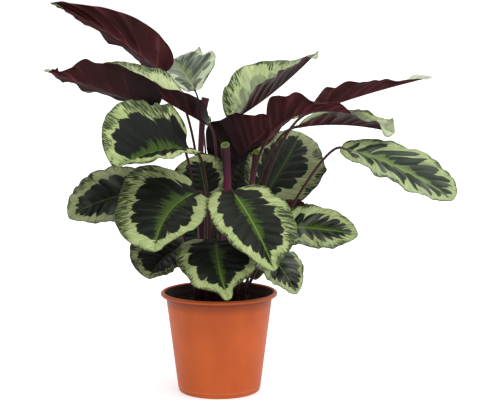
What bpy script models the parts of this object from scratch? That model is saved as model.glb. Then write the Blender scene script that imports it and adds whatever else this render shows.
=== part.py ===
"""Potted calathea: a nursery pot, its soil, the leaf blades on their stalks and three cut stems.

Metres, +Z up. The origin is the middle of the pot's flat underside, on the surface that the pot
stands on. The plant is seen from -Y, and +X is to the right from there.
"""
import math
from dataclasses import dataclass

import bmesh
import bpy
from mathutils import Vector

# Pot
POT_HEIGHT = 0.121
RIM_RADIUS = 0.070
LIP_DEPTH = 0.0052
LIP_BULGE = 0.0005
LIP_OPENING = 155
LIP_STEPS = 8
BAND_DEPTH = 0.0035
BAND_RADIUS = 0.0645
BAND_SLOPE = 0.0006
WALL_TOP_RADIUS = 0.0634
FOOT_RADIUS = 0.0490
FOOT_ROUND = 0.0030
FOOT_ROUND_STEPS = 3
FOOT_STEP_HEIGHT = 0.0045
FOOT_STEP = 0.0007
FOOT_STEP_SLOPE = 0.0008
WALL = 0.0020
FLOOR = 0.0035
FLOOR_CORNER = 0.0080
POT_SIDES = 36
DRAIN_COUNT = 6
DRAIN_RADIUS = 0.0035
DRAIN_CIRCLE = 0.034
DRAIN_SIDES = 8

# Soil
SOIL_TOP = 0.1110
SOIL_CROWN = 0.0030
SOIL_FLAT = 0.55
SOIL_FLAT_DROP = 0.0004
SOIL_GAP = 0.0003
SOIL_SIDES = 36
HOLE_DEPTH = 0.010
HOLE_CLEARANCE = 0.0005
HOLE_SIDES = 8

# Blades
BLADE_THICKNESS = 0.0008
BLADE_ROWS = 12
BLADE_COLUMNS = 8
VEIN_SWEEP = 0.9
VEIN_SWEEP_POWER = 1.2
LOBE_PLACE = 0.06
FOLD_PLACE = 1 / 6
FOOT_SPARE = 0.0009
TIP_HALF_WIDTH = 0.0004
RELIEF = 0.0006
SIDE_SHIFT = 1.3
RUFFLE_END = 0.03

# Stalks and cut stems
STALK_RADIUS = 0.0017
STALK_POINTS = 7
STALK_GAP = 0.0006
STALK_START = 0.42
STALK_END = 0.20
STALK_CROWDING = 1.5
STALK_STRAIGHT = 0.004
LEAST_RISE = 0.02
STEM_LEAN = 0.5
STEM_STRAIGHT = 0.006
STEM_START = 0.05
STEM_END = 0.8

# Colours, linear
POT_COLOR = (0.56, 0.12, 0.032)
SOIL_COLOR = (0.022, 0.013, 0.009)
BLADE_COLOR = (0.030, 0.085, 0.025)
STALK_COLOR = (0.085, 0.016, 0.024)
STEM_COLOR = (0.090, 0.020, 0.045)


@dataclass(frozen=True)
class Ruffle:
    """A local change of a blade's margin.

    side is -1 for the left half and 1 for the right one, at is its place from 0 at the foot to 1 at
    the tip, width is its half length there, and out is how far the margin goes outwards.
    """
    side: int
    at: float
    width: float
    out: float


@dataclass(frozen=True)
class Leaf:
    """One blade and its stalk.

    base, middle and tip are points on the rib. face is where the upper side looks. halves and fold
    are pairs for the left and the right half, as seen on the upper side with the tip up: the width
    of the half, and its rise from the rib in degrees. root is where the stalk leaves the soil.
    Low powers shoulder and point make a round foot and a round tip, lobe draws the foot's two
    lobes back, and wave and waves are the height and the number of the margin's waves. start and
    end are the lengths of the stalk's two straight ends, and lean is how far it leans at the soil.
    """
    name: str
    base: tuple
    middle: tuple
    tip: tuple
    face: tuple
    halves: tuple
    root: tuple
    fold: tuple = (10, 10)
    shoulder: float = 0.50
    point: float = 0.70
    lobe: float = 0.004
    wave: float = 0.0018
    waves: float = 3.5
    start: float = STALK_START
    end: float = STALK_END
    lean: float = 0.35
    thick: float = STALK_RADIUS
    columns: int = BLADE_COLUMNS
    ruffles: tuple = ()


LEAVES = (
    Leaf("high_left", (-0.066, 0.040, 0.379), (-0.125, 0.010, 0.425), (-0.191, -0.040, 0.463),
         face=(0, 0.8, 0.6), halves=(0.032, 0.036), root=(-0.012, 0.009), fold=(40, 44),
         point=1.10,
         ruffles=(Ruffle(-1, 0.93, 0.05, 0.003), Ruffle(1, 0.88, 0.06, 0.003),
                  Ruffle(1, 0.08, 0.10, -0.009))),
    Leaf("upper_left", (-0.070, -0.060, 0.344), (-0.133, -0.105, 0.369), (-0.185, -0.150, 0.390),
         face=(0, 0.8, 0.6), halves=(0.029, 0.034), root=(-0.015, -0.006), fold=(40, 38),
         point=0.95,
         ruffles=(Ruffle(-1, 0.66, 0.05, 0.004), Ruffle(-1, 0.84, 0.07, -0.008),
                  Ruffle(1, 0.90, 0.05, -0.004), Ruffle(1, 0.12, 0.15, -0.014))),
    Leaf("inner_left", (-0.012, -0.018, 0.322), (-0.069, -0.014, 0.354), (-0.135, -0.010, 0.393),
         face=(0.3, 0, 1), halves=(0.030, 0.040), root=(-0.009, 0.001), fold=(58, 50),
         shoulder=0.33, lobe=0.005, end=0.10,
         ruffles=(Ruffle(-1, 0.52, 0.28, -0.014), Ruffle(1, 0.22, 0.16, -0.030),
                  Ruffle(1, 0.42, 0.12, -0.006))),
    Leaf("small_top", (-0.031, 0.080, 0.357), (-0.045, 0.115, 0.376), (-0.061, 0.150, 0.393),
         face=(-0.1, -0.35, 0.93), halves=(0.024, 0.040), root=(-0.007, 0.021), fold=(20, 24),
         thick=0.0012, point=0.60, lean=0.6, columns=6,
         ruffles=(Ruffle(1, 0.10, 0.10, -0.014), Ruffle(1, 0.48, 0.12, 0.004),
                  Ruffle(1, 0.64, 0.06, -0.005))),
    Leaf("upper_middle", (0.018, 0.030, 0.326), (0.067, 0.050, 0.358), (0.121, 0.070, 0.406),
         face=(-0.5, 0, 0.8), halves=(0.053, 0.056), root=(0.003, 0.014), fold=(57, 20),
         point=1.10,
         ruffles=(Ruffle(-1, 0.22, 0.12, -0.006), Ruffle(-1, 0.50, 0.12, 0.004),
                  Ruffle(-1, 0.86, 0.10, -0.006), Ruffle(1, 0.15, 0.10, -0.005),
                  Ruffle(1, 0.80, 0.08, 0.004))),
    Leaf("upper_right", (0.053, -0.040, 0.300), (0.088, -0.080, 0.336), (0.149, -0.110, 0.341),
         face=(0, 0.8, 0.6), halves=(0.034, 0.031), root=(0.012, -0.006), fold=(53, 37),
         shoulder=1.30, point=0.95,
         ruffles=(Ruffle(-1, 0.24, 0.12, 0.008), Ruffle(-1, 0.62, 0.20, 0.006),
                  Ruffle(1, 0.14, 0.08, -0.007), Ruffle(1, 0.35, 0.07, 0.005),
                  Ruffle(1, 0.50, 0.05, -0.006), Ruffle(1, 0.73, 0.14, -0.020))),
    Leaf("inner_right", (0.095, 0.030, 0.316), (0.153, 0.020, 0.319), (0.208, 0.000, 0.311),
         face=(0, 0, 1), halves=(0.036, 0.036), root=(0.015, 0.010), fold=(27, 24), point=0.60,
         lean=0.6,
         ruffles=(Ruffle(1, 0.20, 0.14, -0.008), Ruffle(1, 0.72, 0.10, -0.006),
                  Ruffle(-1, 0.72, 0.06, -0.004))),
    Leaf("centre", (0.009, 0.005, 0.264), (0.038, 0.000, 0.297), (0.067, -0.010, 0.325),
         face=(0, 1, 0), halves=(0.030, 0.045), root=(0.005, -0.001), fold=(70, 0), shoulder=0.40,
         point=0.50,
         ruffles=(Ruffle(-1, 0.15, 0.13, -0.014), Ruffle(1, 0.30, 0.15, 0.008),
                  Ruffle(1, 0.52, 0.14, -0.003), Ruffle(1, 0.82, 0.12, -0.011))),
    Leaf("high_right", (0.106, -0.010, 0.335), (0.179, 0.030, 0.356), (0.260, 0.070, 0.374),
         face=(-0.2, 0.2, 0.95), halves=(0.036, 0.026), root=(0.019, 0.003), fold=(8, 40),
         shoulder=0.30, point=1.00, lobe=0.016, lean=0.6,
         ruffles=(Ruffle(1, 0.10, 0.09, 0.008), Ruffle(1, 0.50, 0.10, -0.004),
                  Ruffle(1, 0.77, 0.11, -0.009))),
    Leaf("far_right", (0.145, 0.000, 0.293), (0.209, -0.020, 0.272), (0.273, -0.050, 0.237),
         face=(0.3, -0.55, 0.8), halves=(0.038, 0.042), root=(0.026, -0.003), fold=(12, 12),
         shoulder=0.70, point=0.50, end=0.10, lean=0.8,
         ruffles=(Ruffle(-1, 0.40, 0.06, -0.003), Ruffle(1, 0.75, 0.10, 0.004),
                  Ruffle(1, 0.91, 0.05, 0.005))),
    Leaf("back_right", (0.052, 0.040, 0.226), (0.080, 0.075, 0.268), (0.101, 0.120, 0.302),
         face=(0.1, -0.8, 0.6), halves=(0.042, 0.050), root=(0.012, 0.022), lobe=0.004),
    Leaf("left", (-0.031, -0.070, 0.298), (-0.072, -0.115, 0.298), (-0.110, -0.151, 0.283),
         face=(0, -0.67, 0.74), halves=(0.033, 0.064), root=(-0.010, -0.015), fold=(26, 30),
         point=0.48, lobe=0.028,
         ruffles=(Ruffle(1, 0.10, 0.08, 0.016), Ruffle(-1, 0.88, 0.13, -0.019))),
    Leaf("front_left", (-0.022, -0.060, 0.248), (-0.055, -0.095, 0.228), (-0.068, -0.150, 0.192),
         face=(-0.2, -0.65, 0.73), halves=(0.045, 0.062), root=(-0.015, -0.022), fold=(10, 22),
         point=0.50, lobe=0.006, end=0.10,
         ruffles=(Ruffle(-1, 0.70, 0.17, 0.010), Ruffle(1, 0.30, 0.14, 0.006),
                  Ruffle(1, 0.62, 0.16, -0.006))),
    Leaf("far_left", (-0.074, -0.030, 0.244), (-0.128, -0.050, 0.238), (-0.171, -0.065, 0.218),
         face=(-0.15, -0.8, 0.6), halves=(0.038, 0.037), root=(-0.025, -0.007), lobe=0.006,
         lean=0.6),
    Leaf("front", (0.016, -0.065, 0.250), (0.041, -0.115, 0.218), (0.064, -0.143, 0.170),
         face=(0.1, -0.65, 0.75), halves=(0.045, 0.044), root=(0.008, -0.024), lobe=0.006,
         end=0.10,
         ruffles=(Ruffle(-1, 0.28, 0.10, -0.006), Ruffle(-1, 0.74, 0.12, 0.005),
                  Ruffle(1, 0.80, 0.12, -0.005))),
    Leaf("back_left", (-0.014, -0.014, 0.232), (-0.019, -0.014, 0.261), (-0.025, -0.014, 0.286),
         face=(-0.15, -0.8, 0.6), halves=(0.036, 0.031), root=(-0.004, -0.005), point=0.50,
         columns=6),
    Leaf("low_front", (-0.002, -0.060, 0.192), (0.002, -0.105, 0.169), (0.013, -0.130, 0.135),
         face=(0, -0.6, 0.8), halves=(0.046, 0.046), root=(-0.003, -0.032), end=0.12,
         ruffles=(Ruffle(-1, 0.87, 0.09, -0.014), Ruffle(1, 0.66, 0.06, -0.003),
                  Ruffle(1, 0.89, 0.08, -0.011))),
    Leaf("low_left", (-0.039, -0.040, 0.183), (-0.064, -0.060, 0.169), (-0.079, -0.075, 0.149),
         face=(-0.2, -0.5, 0.8), halves=(0.035, 0.046), root=(-0.027, -0.023), lobe=0.006,
         columns=6),
    Leaf("right", (0.076, -0.020, 0.202), (0.119, -0.035, 0.201), (0.163, -0.040, 0.195),
         face=(0, -0.8, 0.6), halves=(0.029, 0.030), root=(0.028, -0.013),
         ruffles=(Ruffle(-1, 0.50, 0.20, -0.003), Ruffle(1, 0.38, 0.12, -0.005))),
    Leaf("low_right", (0.051, -0.040, 0.179), (0.071, -0.070, 0.163), (0.090, -0.090, 0.134),
         face=(0.3, -0.6, 0.7), halves=(0.027, 0.033), root=(0.020, -0.024), columns=6,
         ruffles=(Ruffle(-1, 0.25, 0.15, -0.006),)),
    Leaf("back_low", (0.068, 0.024, 0.213), (0.090, 0.030, 0.215), (0.113, 0.032, 0.213),
         face=(0, 0.6, 0.8), halves=(0.014, 0.018), root=(0.024, 0.020), columns=6),
    Leaf("rear_left", (-0.010, 0.058, 0.158), (-0.030, 0.070, 0.180), (-0.052, 0.088, 0.200),
         face=(0, -0.8, 0.6), halves=(0.030, 0.032), root=(-0.005, 0.031), columns=6),
    Leaf("rear_right", (0.026, 0.060, 0.150), (0.014, 0.090, 0.185), (0.002, 0.115, 0.215),
         face=(0.1, 0.8, 0.5), halves=(0.040, 0.040), root=(0.006, 0.033), columns=6),
    Leaf("rear_low", (0.030, 0.048, 0.172), (0.039, 0.050, 0.149), (0.044, 0.046, 0.126),
         face=(0, -0.85, 0.5), halves=(0.020, 0.019), root=(0.016, 0.030)),
    Leaf("rear_high", (0.016, 0.085, 0.214), (0.025, 0.108, 0.247), (0.034, 0.130, 0.275),
         face=(0, -0.8, 0.6), halves=(0.032, 0.028), root=(0.001, 0.024), columns=6),
)


@dataclass(frozen=True)
class CutStem:
    """A stem that was cut off: where it leaves the soil, its bend, its cut top and its radius."""
    name: str
    root: tuple
    middle: tuple
    top: tuple
    radius: float


CUT_STEMS = (
    CutStem("cut_stem_thick", (0.000, -0.013), (0.013, -0.030, 0.246), (0.008, -0.030, 0.299), 0.0050),
    CutStem("cut_stem_thin", (0.011, 0.003), (0.039, -0.010, 0.248), (0.045, -0.010, 0.289), 0.0039),
    CutStem("cut_stem_tall", (-0.021, 0.002), (-0.0215, 0.003, 0.325), (-0.0155, 0.002, 0.352), 0.0042),
)


def clear_scene():
    """Remove whatever the scene holds."""
    for obj in list(bpy.data.objects):
        bpy.data.objects.remove(obj, do_unlink=True)


def collection(name):
    """A new collection in the scene."""
    made = bpy.data.collections.new(name)
    bpy.context.scene.collection.children.link(made)
    return made


def material(name, color, roughness, metallic=0.0):
    """A Principled material of one colour."""
    made = bpy.data.materials.new(name)
    made.use_nodes = True
    shader = made.node_tree.nodes["Principled BSDF"]
    shader.inputs["Base Color"].default_value = (*color, 1.0)
    shader.inputs["Roughness"].default_value = roughness
    shader.inputs["Metallic"].default_value = metallic
    return made


def add_object(name, data, group, finish):
    """An object of some mesh or curve in a collection, with its material."""
    obj = bpy.data.objects.new(name, data)
    group.objects.link(obj)
    data.materials.append(finish)
    return obj


def smooth(mesh, degrees=35):
    """Shade a mesh smooth, with sharp edges kept."""
    mesh.shade_smooth()
    mesh.set_sharp_from_angle(angle=math.radians(degrees))


def turned(name, profile, sides, group, finish):
    """A body turned about Z from a profile of (radius, height) points, top to bottom outside."""
    mesh = bpy.data.meshes.new(name)
    points = [(radius, 0.0, height) for radius, height in profile]
    mesh.from_pydata(points, [(i, i + 1) for i in range(len(points) - 1)], [])
    obj = add_object(name, mesh, group, finish)
    screw = obj.modifiers.new("Turn", "SCREW")
    screw.steps = sides
    screw.render_steps = sides
    screw.use_merge_vertices = True
    screw.merge_threshold = 1e-5
    return obj


def arc(centre, radius, start, stop, steps):
    """Points on an arc about a centre in the profile plane, in degrees."""
    turns = [math.radians(start + (stop - start) * i / steps) for i in range(steps + 1)]
    return [(centre[0] + radius * math.cos(a), centre[1] + radius * math.sin(a)) for a in turns]


def wall_radius(height):
    """Outer radius of the pot's wall at a height."""
    top = POT_HEIGHT - LIP_DEPTH - BAND_DEPTH
    return FOOT_RADIUS + (WALL_TOP_RADIUS - FOOT_RADIUS) * height / top


def make_pot(group, cutters):
    """The pot: rolled lip, band, tapered wall, rounded foot and a ring of drainage holes."""
    lip_middle = POT_HEIGHT - LIP_DEPTH / 2
    roll = LIP_DEPTH / 2
    band_foot = POT_HEIGHT - LIP_DEPTH - BAND_DEPTH
    profile = [(0.0, FLOOR), (FOOT_RADIUS - FOOT_ROUND - WALL, FLOOR)]
    profile += [(wall_radius(FLOOR_CORNER) - WALL, FLOOR_CORNER)]
    profile += [(wall_radius(band_foot) - WALL, band_foot - BAND_SLOPE)]
    profile += [(RIM_RADIUS - 2 * roll + LIP_BULGE, lip_middle)]
    profile += arc((RIM_RADIUS - roll, lip_middle), roll, LIP_OPENING, -90, LIP_STEPS)[1:]
    profile += [(BAND_RADIUS, POT_HEIGHT - LIP_DEPTH), (BAND_RADIUS, band_foot + BAND_SLOPE)]
    profile += [(wall_radius(band_foot), band_foot - BAND_SLOPE)]
    step_top = FOOT_STEP_HEIGHT + FOOT_STEP_SLOPE
    foot_edge = wall_radius(FOOT_STEP_HEIGHT) - FOOT_STEP
    profile += [(wall_radius(step_top), step_top), (foot_edge, FOOT_STEP_HEIGHT)]
    profile += arc((foot_edge - FOOT_ROUND, FOOT_ROUND), FOOT_ROUND, 0, -90, FOOT_ROUND_STEPS)
    profile += [(0.0, 0.0)]
    pot = turned("pot", profile, POT_SIDES, group, material("Pot", POT_COLOR, 0.45))
    cutter = drain_cutter(cutters)
    drain = pot.modifiers.new("Drain", "BOOLEAN")
    drain.object = cutter
    smooth(pot.data)
    return pot


def drain_cutter(cutters):
    """One cutter for the ring of drainage holes."""
    cage = bmesh.new()
    for i in range(DRAIN_COUNT):
        turn = 2 * math.pi * (i + 0.5) / DRAIN_COUNT
        made = bmesh.ops.create_cone(cage, cap_ends=True, segments=DRAIN_SIDES, depth=4 * FLOOR,
                                     radius1=DRAIN_RADIUS, radius2=DRAIN_RADIUS)
        middle = Vector((DRAIN_CIRCLE * math.cos(turn), DRAIN_CIRCLE * math.sin(turn), 0.0))
        bmesh.ops.translate(cage, verts=made["verts"], vec=middle)
    return cutter_object("drain_holes", cage, cutters)


def cutter_object(name, cage, cutters):
    """An object for a cutter, left out of the model."""
    mesh = bpy.data.meshes.new(name)
    cage.to_mesh(mesh)
    cage.free()
    obj = bpy.data.objects.new(name, mesh)
    cutters.objects.link(obj)
    obj.hide_render = True
    obj.display_type = "WIRE"
    return obj


def stalk_start(root, toward, lean):
    """Where a stalk leaves the soil, and the direction in which it does."""
    foot = Vector((root[0], root[1], SOIL_TOP))
    away = Vector((toward[0] - root[0], toward[1] - root[1], 0.0))
    rise = max(toward[2] - SOIL_TOP, LEAST_RISE)
    return foot, (Vector((0, 0, 1)) + away * (lean / rise)).normalized()


def make_soil(group, cutters):
    """The soil, slightly crowned, with a plain hole for each stalk and stem."""
    bottom = FLOOR + SOIL_GAP
    low = wall_radius(FLOOR_CORNER) - WALL - SOIL_GAP
    high = wall_radius(SOIL_TOP - SOIL_CROWN) - WALL - SOIL_GAP
    foot = FOOT_RADIUS - FOOT_ROUND - WALL - SOIL_GAP
    profile = [(0.0, SOIL_TOP), (high * SOIL_FLAT, SOIL_TOP - SOIL_FLAT_DROP)]
    profile += [(high, SOIL_TOP - SOIL_CROWN), (low, FLOOR_CORNER + SOIL_GAP)]
    profile += [(foot, bottom), (0.0, bottom)]
    soil = turned("soil", profile, SOIL_SIDES, group, material("Soil", SOIL_COLOR, 0.95))
    cage = bmesh.new()
    for foot_point, direction, radius in stems_in_soil():
        hole = radius + HOLE_CLEARANCE
        made = bmesh.ops.create_cone(cage, cap_ends=True, segments=HOLE_SIDES, depth=2 * HOLE_DEPTH,
                                     radius1=hole, radius2=hole)
        turn = direction.to_track_quat("Z", "Y").to_matrix()
        bmesh.ops.rotate(cage, verts=made["verts"], matrix=turn)
        bmesh.ops.translate(cage, verts=made["verts"], vec=foot_point)
    cutter = cutter_object("stem_holes", cage, cutters)
    holes = soil.modifiers.new("Holes", "BOOLEAN")
    holes.object = cutter
    smooth(soil.data)
    return soil


def stems_in_soil():
    """Foot, direction and radius of everything that stands in the soil."""
    for leaf in LEAVES:
        foot, direction = stalk_start(leaf.root, leaf.base, leaf.lean)
        yield foot, direction, leaf.thick
    for stem in CUT_STEMS:
        foot, direction = stalk_start(stem.root, stem.middle, STEM_LEAN)
        yield foot, direction, stem.radius


def rib(leaf, v):
    """Point and direction on the rib, v from 0 at the foot to 1 at the tip."""
    base, middle, tip = (Vector(p) for p in (leaf.base, leaf.middle, leaf.tip))
    bow = middle - (base + tip) / 2
    place = base + (tip - base) * v + bow * (4 * v * (1 - v))
    along = (tip - base) + bow * (4 * (1 - 2 * v))
    return place, along.normalized()


def outline(v, shoulder, point):
    """Width of a blade along its length, 1 at its widest; low powers make round ends."""
    widest = shoulder / (shoulder + point)
    most = widest ** shoulder * (1 - widest) ** point
    return v ** shoulder * (1 - v) ** point / most


def blade_point(leaf, q, t, ridge):
    """A point of the blade's middle surface.

    q is the foot of a side vein on the rib, 0 to 1, and t runs along that vein, from -1 on the left
    margin to 1 on the right one. ridge is 1 on a vein and -1 between two.
    """
    v = 1 - (1 - q) ** (1 + VEIN_SWEEP * abs(t) ** VEIN_SWEEP_POWER)
    side = 1 if t > 0 else 0
    place, along = rib(leaf, v)
    face = Vector(leaf.face)
    face = (face - along * face.dot(along)).normalized()
    across = along.cross(face)
    if side == 0:
        across = -across
    foot = leaf.thick + FOOT_SPARE
    narrow = foot + (TIP_HALF_WIDTH - foot) * v
    reach = abs(t) * (narrow + leaf.halves[side] * outline(v, leaf.shoulder, leaf.point))
    for change in leaf.ruffles:
        if t * change.side > 0:
            near = math.exp(-((v - change.at) / change.width) ** 2)
            reach += t * t * change.out * near * min(1.0, (1 - v) / RUFFLE_END)
    rise = math.radians(leaf.fold[side]) * min(1.0, v / FOLD_PLACE)
    ends = math.sqrt(max(0.0, 4 * v * (1 - v)))
    ripple = math.sin(2 * math.pi * leaf.waves * v + SIDE_SHIFT * side)
    lift = leaf.wave * ends * t * t * ripple + RELIEF * ridge * ends * 4 * abs(t) * (1 - abs(t))
    across_dir = across * math.cos(rise) + face * math.sin(rise)
    face_dir = face * math.cos(rise) - across * math.sin(rise)
    back = leaf.lobe * t * t * (v / LOBE_PLACE) * math.exp(1 - v / LOBE_PLACE)
    return place + across_dir * reach + face_dir * lift - along * back


def make_blade(leaf, group, finish):
    """A blade: a waved sheet whose rows follow the side veins, made solid."""
    mesh = bpy.data.meshes.new(f"blade_{leaf.name}")
    cage = bmesh.new()
    rows = []
    for i in range(BLADE_ROWS + 1):
        q = (1 - math.cos(math.pi * i / BLADE_ROWS)) / 2
        row = []
        for j in range(leaf.columns + 1):
            t = -1 + 2 * j / leaf.columns
            row.append(cage.verts.new(blade_point(leaf, q, t, (-1) ** i)))
        rows.append(row)
    for low, high in zip(rows, rows[1:]):
        for j in range(leaf.columns):
            cage.faces.new((low[j], low[j + 1], high[j + 1], high[j]))
    bmesh.ops.triangulate(cage, faces=cage.faces, quad_method="FIXED")
    cage.to_mesh(mesh)
    cage.free()
    obj = add_object(f"blade_{leaf.name}", mesh, group, finish)
    shell = obj.modifiers.new("Thickness", "SOLIDIFY")
    shell.thickness = BLADE_THICKNESS
    shell.offset = 0.0
    smooth(mesh, 60)
    return obj


def bezier(points, u):
    """A point on a cubic through four control points."""
    a, b, c, d = points
    w = 1 - u
    return a * w ** 3 + b * (3 * u * w * w) + c * (3 * u * u * w) + d * u ** 3


def tube(name, route, radius, group, finish):
    """A round tube with flat ends along a route."""
    data = bpy.data.curves.new(name, "CURVE")
    data.dimensions = "3D"
    data.bevel_depth = radius
    data.bevel_resolution = 2
    data.use_fill_caps = True
    spline = data.splines.new("POLY")
    spline.points.add(len(route) - 1)
    for knot, place in zip(spline.points, route):
        knot.co = (*place, 1.0)
    add_object(name, data, group, finish)


def stalk_route(leaf):
    """The stalk's middle line, from its hole in the soil to the foot of the blade."""
    foot, direction = stalk_start(leaf.root, leaf.base, leaf.lean)
    base, along = rib(leaf, 0.0)
    end = base - along * STALK_GAP
    straight = foot + direction * STALK_STRAIGHT
    reach = (end - straight).length
    handles = (straight, straight + direction * (reach * leaf.start),
               end - along * (reach * leaf.end), end)
    route = [foot - direction * (HOLE_DEPTH - STALK_GAP)]
    for i in range(STALK_POINTS):
        route.append(bezier(handles, 1 - (1 - i / (STALK_POINTS - 1)) ** STALK_CROWDING))
    return route


def cut_stem_route(stem):
    """A cut stem's middle line, from its hole in the soil to its cut top."""
    foot, direction = stalk_start(stem.root, stem.middle, STEM_LEAN)
    straight = foot + direction * STEM_STRAIGHT
    middle, top = Vector(stem.middle), Vector(stem.top)
    handles = (straight, straight + direction * STEM_START,
               middle - (top - middle) * STEM_END, top)
    route = [foot - direction * (HOLE_DEPTH - STALK_GAP)]
    for i in range(STALK_POINTS):
        route.append(bezier(handles, i / (STALK_POINTS - 1)))
    return route


def build():
    """Build the whole plant in its pot."""
    clear_scene()
    plant = collection("potted_calathea")
    cutters = collection("cutters")
    make_pot(plant, cutters)
    make_soil(plant, cutters)
    for leaf in LEAVES:
        make_blade(leaf, plant, material(f"Blade {leaf.name}", BLADE_COLOR, 0.42))
        tube(f"stalk_{leaf.name}", stalk_route(leaf), leaf.thick, plant,
             material(f"Stalk {leaf.name}", STALK_COLOR, 0.40))
    for stem in CUT_STEMS:
        tube(stem.name, cut_stem_route(stem), stem.radius, plant,
             material(f"Stem {stem.name}", STEM_COLOR, 0.40))


build()
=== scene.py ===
"""Potted calathea: the looks of its patterned blades, stalks, cut stems, soil and nursery pot.

Metres, +Z up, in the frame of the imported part: the origin is the middle of the pot's underside,
the plant is seen from -Y, and +X is to the right from there.
"""
import logging
import math
from dataclasses import dataclass
from enum import Enum
from functools import reduce

import bpy
import numpy as np
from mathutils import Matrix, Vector


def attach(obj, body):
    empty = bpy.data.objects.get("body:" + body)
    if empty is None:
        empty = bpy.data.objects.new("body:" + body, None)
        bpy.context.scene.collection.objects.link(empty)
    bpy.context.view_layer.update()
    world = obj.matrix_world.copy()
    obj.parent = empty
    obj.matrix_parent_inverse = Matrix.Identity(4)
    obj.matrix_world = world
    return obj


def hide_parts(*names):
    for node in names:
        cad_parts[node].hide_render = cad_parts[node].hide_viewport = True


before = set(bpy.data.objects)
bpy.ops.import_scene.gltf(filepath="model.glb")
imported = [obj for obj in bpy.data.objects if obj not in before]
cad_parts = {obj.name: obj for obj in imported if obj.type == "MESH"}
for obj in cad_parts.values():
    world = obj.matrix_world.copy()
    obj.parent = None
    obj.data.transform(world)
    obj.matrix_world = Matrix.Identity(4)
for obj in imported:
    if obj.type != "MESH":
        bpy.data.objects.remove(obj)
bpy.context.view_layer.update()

LOG = logging.getLogger("potted_calathea")
BODY = "root"
NOISE_SPAN = (0.28, 0.72)
MM_PER_M = 1000

Point = tuple[float, float, float]
Pair = tuple[float, float]
Span = tuple[float, float, float, float]
Color = tuple[float, float, float, float]
Socket = bpy.types.NodeSocket
Number = float | bpy.types.NodeSocket


def paint(red: int, green: int, blue: int) -> Color:
    """Turn a colour as it shows on a screen into the linear one that a shader takes.

    Args:
        red: Red, 0 to 255.
        green: Green, 0 to 255.
        blue: Blue, 0 to 255.

    Returns:
        The linear colour, opaque.
    """
    toe, toe_slope, lift, power = 0.04045, 12.92, 0.055, 2.4
    linear = []
    for value in (red, green, blue):
        share = value / 255
        curved = ((share + lift) / (1 + lift)) ** power
        linear.append(share / toe_slope if share <= toe else curved)
    return linear[0], linear[1], linear[2], 1.0


def unit(vectors: np.ndarray) -> np.ndarray:
    """Vectors of length 1 in the same directions."""
    return vectors / np.linalg.norm(vectors, axis=-1, keepdims=True)


def level_ring(radius: float, height: float | np.ndarray, turns: np.ndarray) -> np.ndarray:
    """Points round the pot's axis at the given turns, all at one height or each at its own."""
    return np.stack((radius * np.cos(turns), radius * np.sin(turns), height + 0 * turns), axis=-1)


def cubic(handles: tuple, shares: np.ndarray) -> np.ndarray:
    """Points on a cubic.

    Args:
        handles: Its four control points.
        shares: Where along it, 0 to 1.

    Returns:
        The points, one a row.
    """
    a, b, c, d = handles
    u = shares[:, None]
    w = 1 - u
    return a * w ** 3 + b * (3 * u * w * w) + c * (3 * u * u * w) + d * u ** 3


def add_piece(name: str, mesh: bpy.types.Mesh, node: str) -> bpy.types.Object:
    """Put a finished mesh in the scene in place of a node of the part.

    Args:
        name: The piece's name.
        mesh: Its mesh, already in its place.
        node: The node that it stands for.

    Returns:
        The new object.
    """
    piece = bpy.data.objects.new(name, mesh)
    bpy.context.scene.collection.objects.link(piece)
    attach(piece, BODY)
    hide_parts(node)
    LOG.info("%s: %d faces, for node %s", name, len(mesh.polygons), node)
    return piece


def mesh_from(name: str, points: np.ndarray, faces: list, sharp: float = 60.0) -> bpy.types.Mesh:
    """Make a smooth shaded mesh.

    Args:
        name: The mesh's name.
        points: Its points, one a row.
        faces: Its faces, as lists of point numbers.
        sharp: Edges that turn by more than these degrees stay sharp.

    Returns:
        The mesh.
    """
    mesh = bpy.data.meshes.new(name)
    mesh.from_pydata(points.tolist(), [], faces)
    mesh.shade_smooth()
    mesh.set_sharp_from_angle(angle=math.radians(sharp))
    return mesh


def set_numbers(mesh: bpy.types.Mesh, name: str, values: np.ndarray) -> None:
    """Store one number, or one vector, for each point of a mesh, for its finish to read.

    Args:
        mesh: The mesh.
        name: The attribute's name.
        values: An array of one number, or three, for each point.
    """
    kind, field_name = ("FLOAT", "value") if values.ndim == 1 else ("FLOAT_VECTOR", "vector")
    made = mesh.attributes.new(name, kind, "POINT")
    made.data.foreach_set(field_name, values.astype(np.float32).ravel())


def grid_faces(rows: int, columns: int, first: int, flip: bool, closed: bool = False) -> list:
    """Faces between neighbouring rows of points.

    Args:
        rows: How many rows of points there are.
        columns: How many points a row has.
        first: The number of the first point.
        flip: Whether the faces look the other way.
        closed: Whether each row's end meets its start.

    Returns:
        The faces.
    """
    faces = []
    for i in range(rows - 1):
        for j in range(columns if closed else columns - 1):
            k = (j + 1) % columns
            a, b = first + i * columns + j, first + i * columns + k
            face = (a, b, b + columns, a + columns)
            faces.append(face[::-1] if flip else face)
    return faces


def capped_faces(rings: int, sides: int, flip: bool) -> list:
    """Faces of a stack of rings, closed at each end by a fan round one more point.

    Args:
        rings: How many rings there are.
        sides: How many points a ring has.
        flip: Whether the faces look the other way.

    Returns:
        The walls' faces, then the fans'. The fans' middles are the two points after the rings.
    """
    faces = grid_faces(rings, sides, 0, flip, closed=True)
    last, start, end = (rings - 1) * sides, rings * sides, rings * sides + 1
    for j in range(sides):
        k = (j + 1) % sides
        a, b = (j, k) if flip else (k, j)
        faces.append((a, b, start))
        faces.append((last + b, last + a, end))
    return faces


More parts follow.
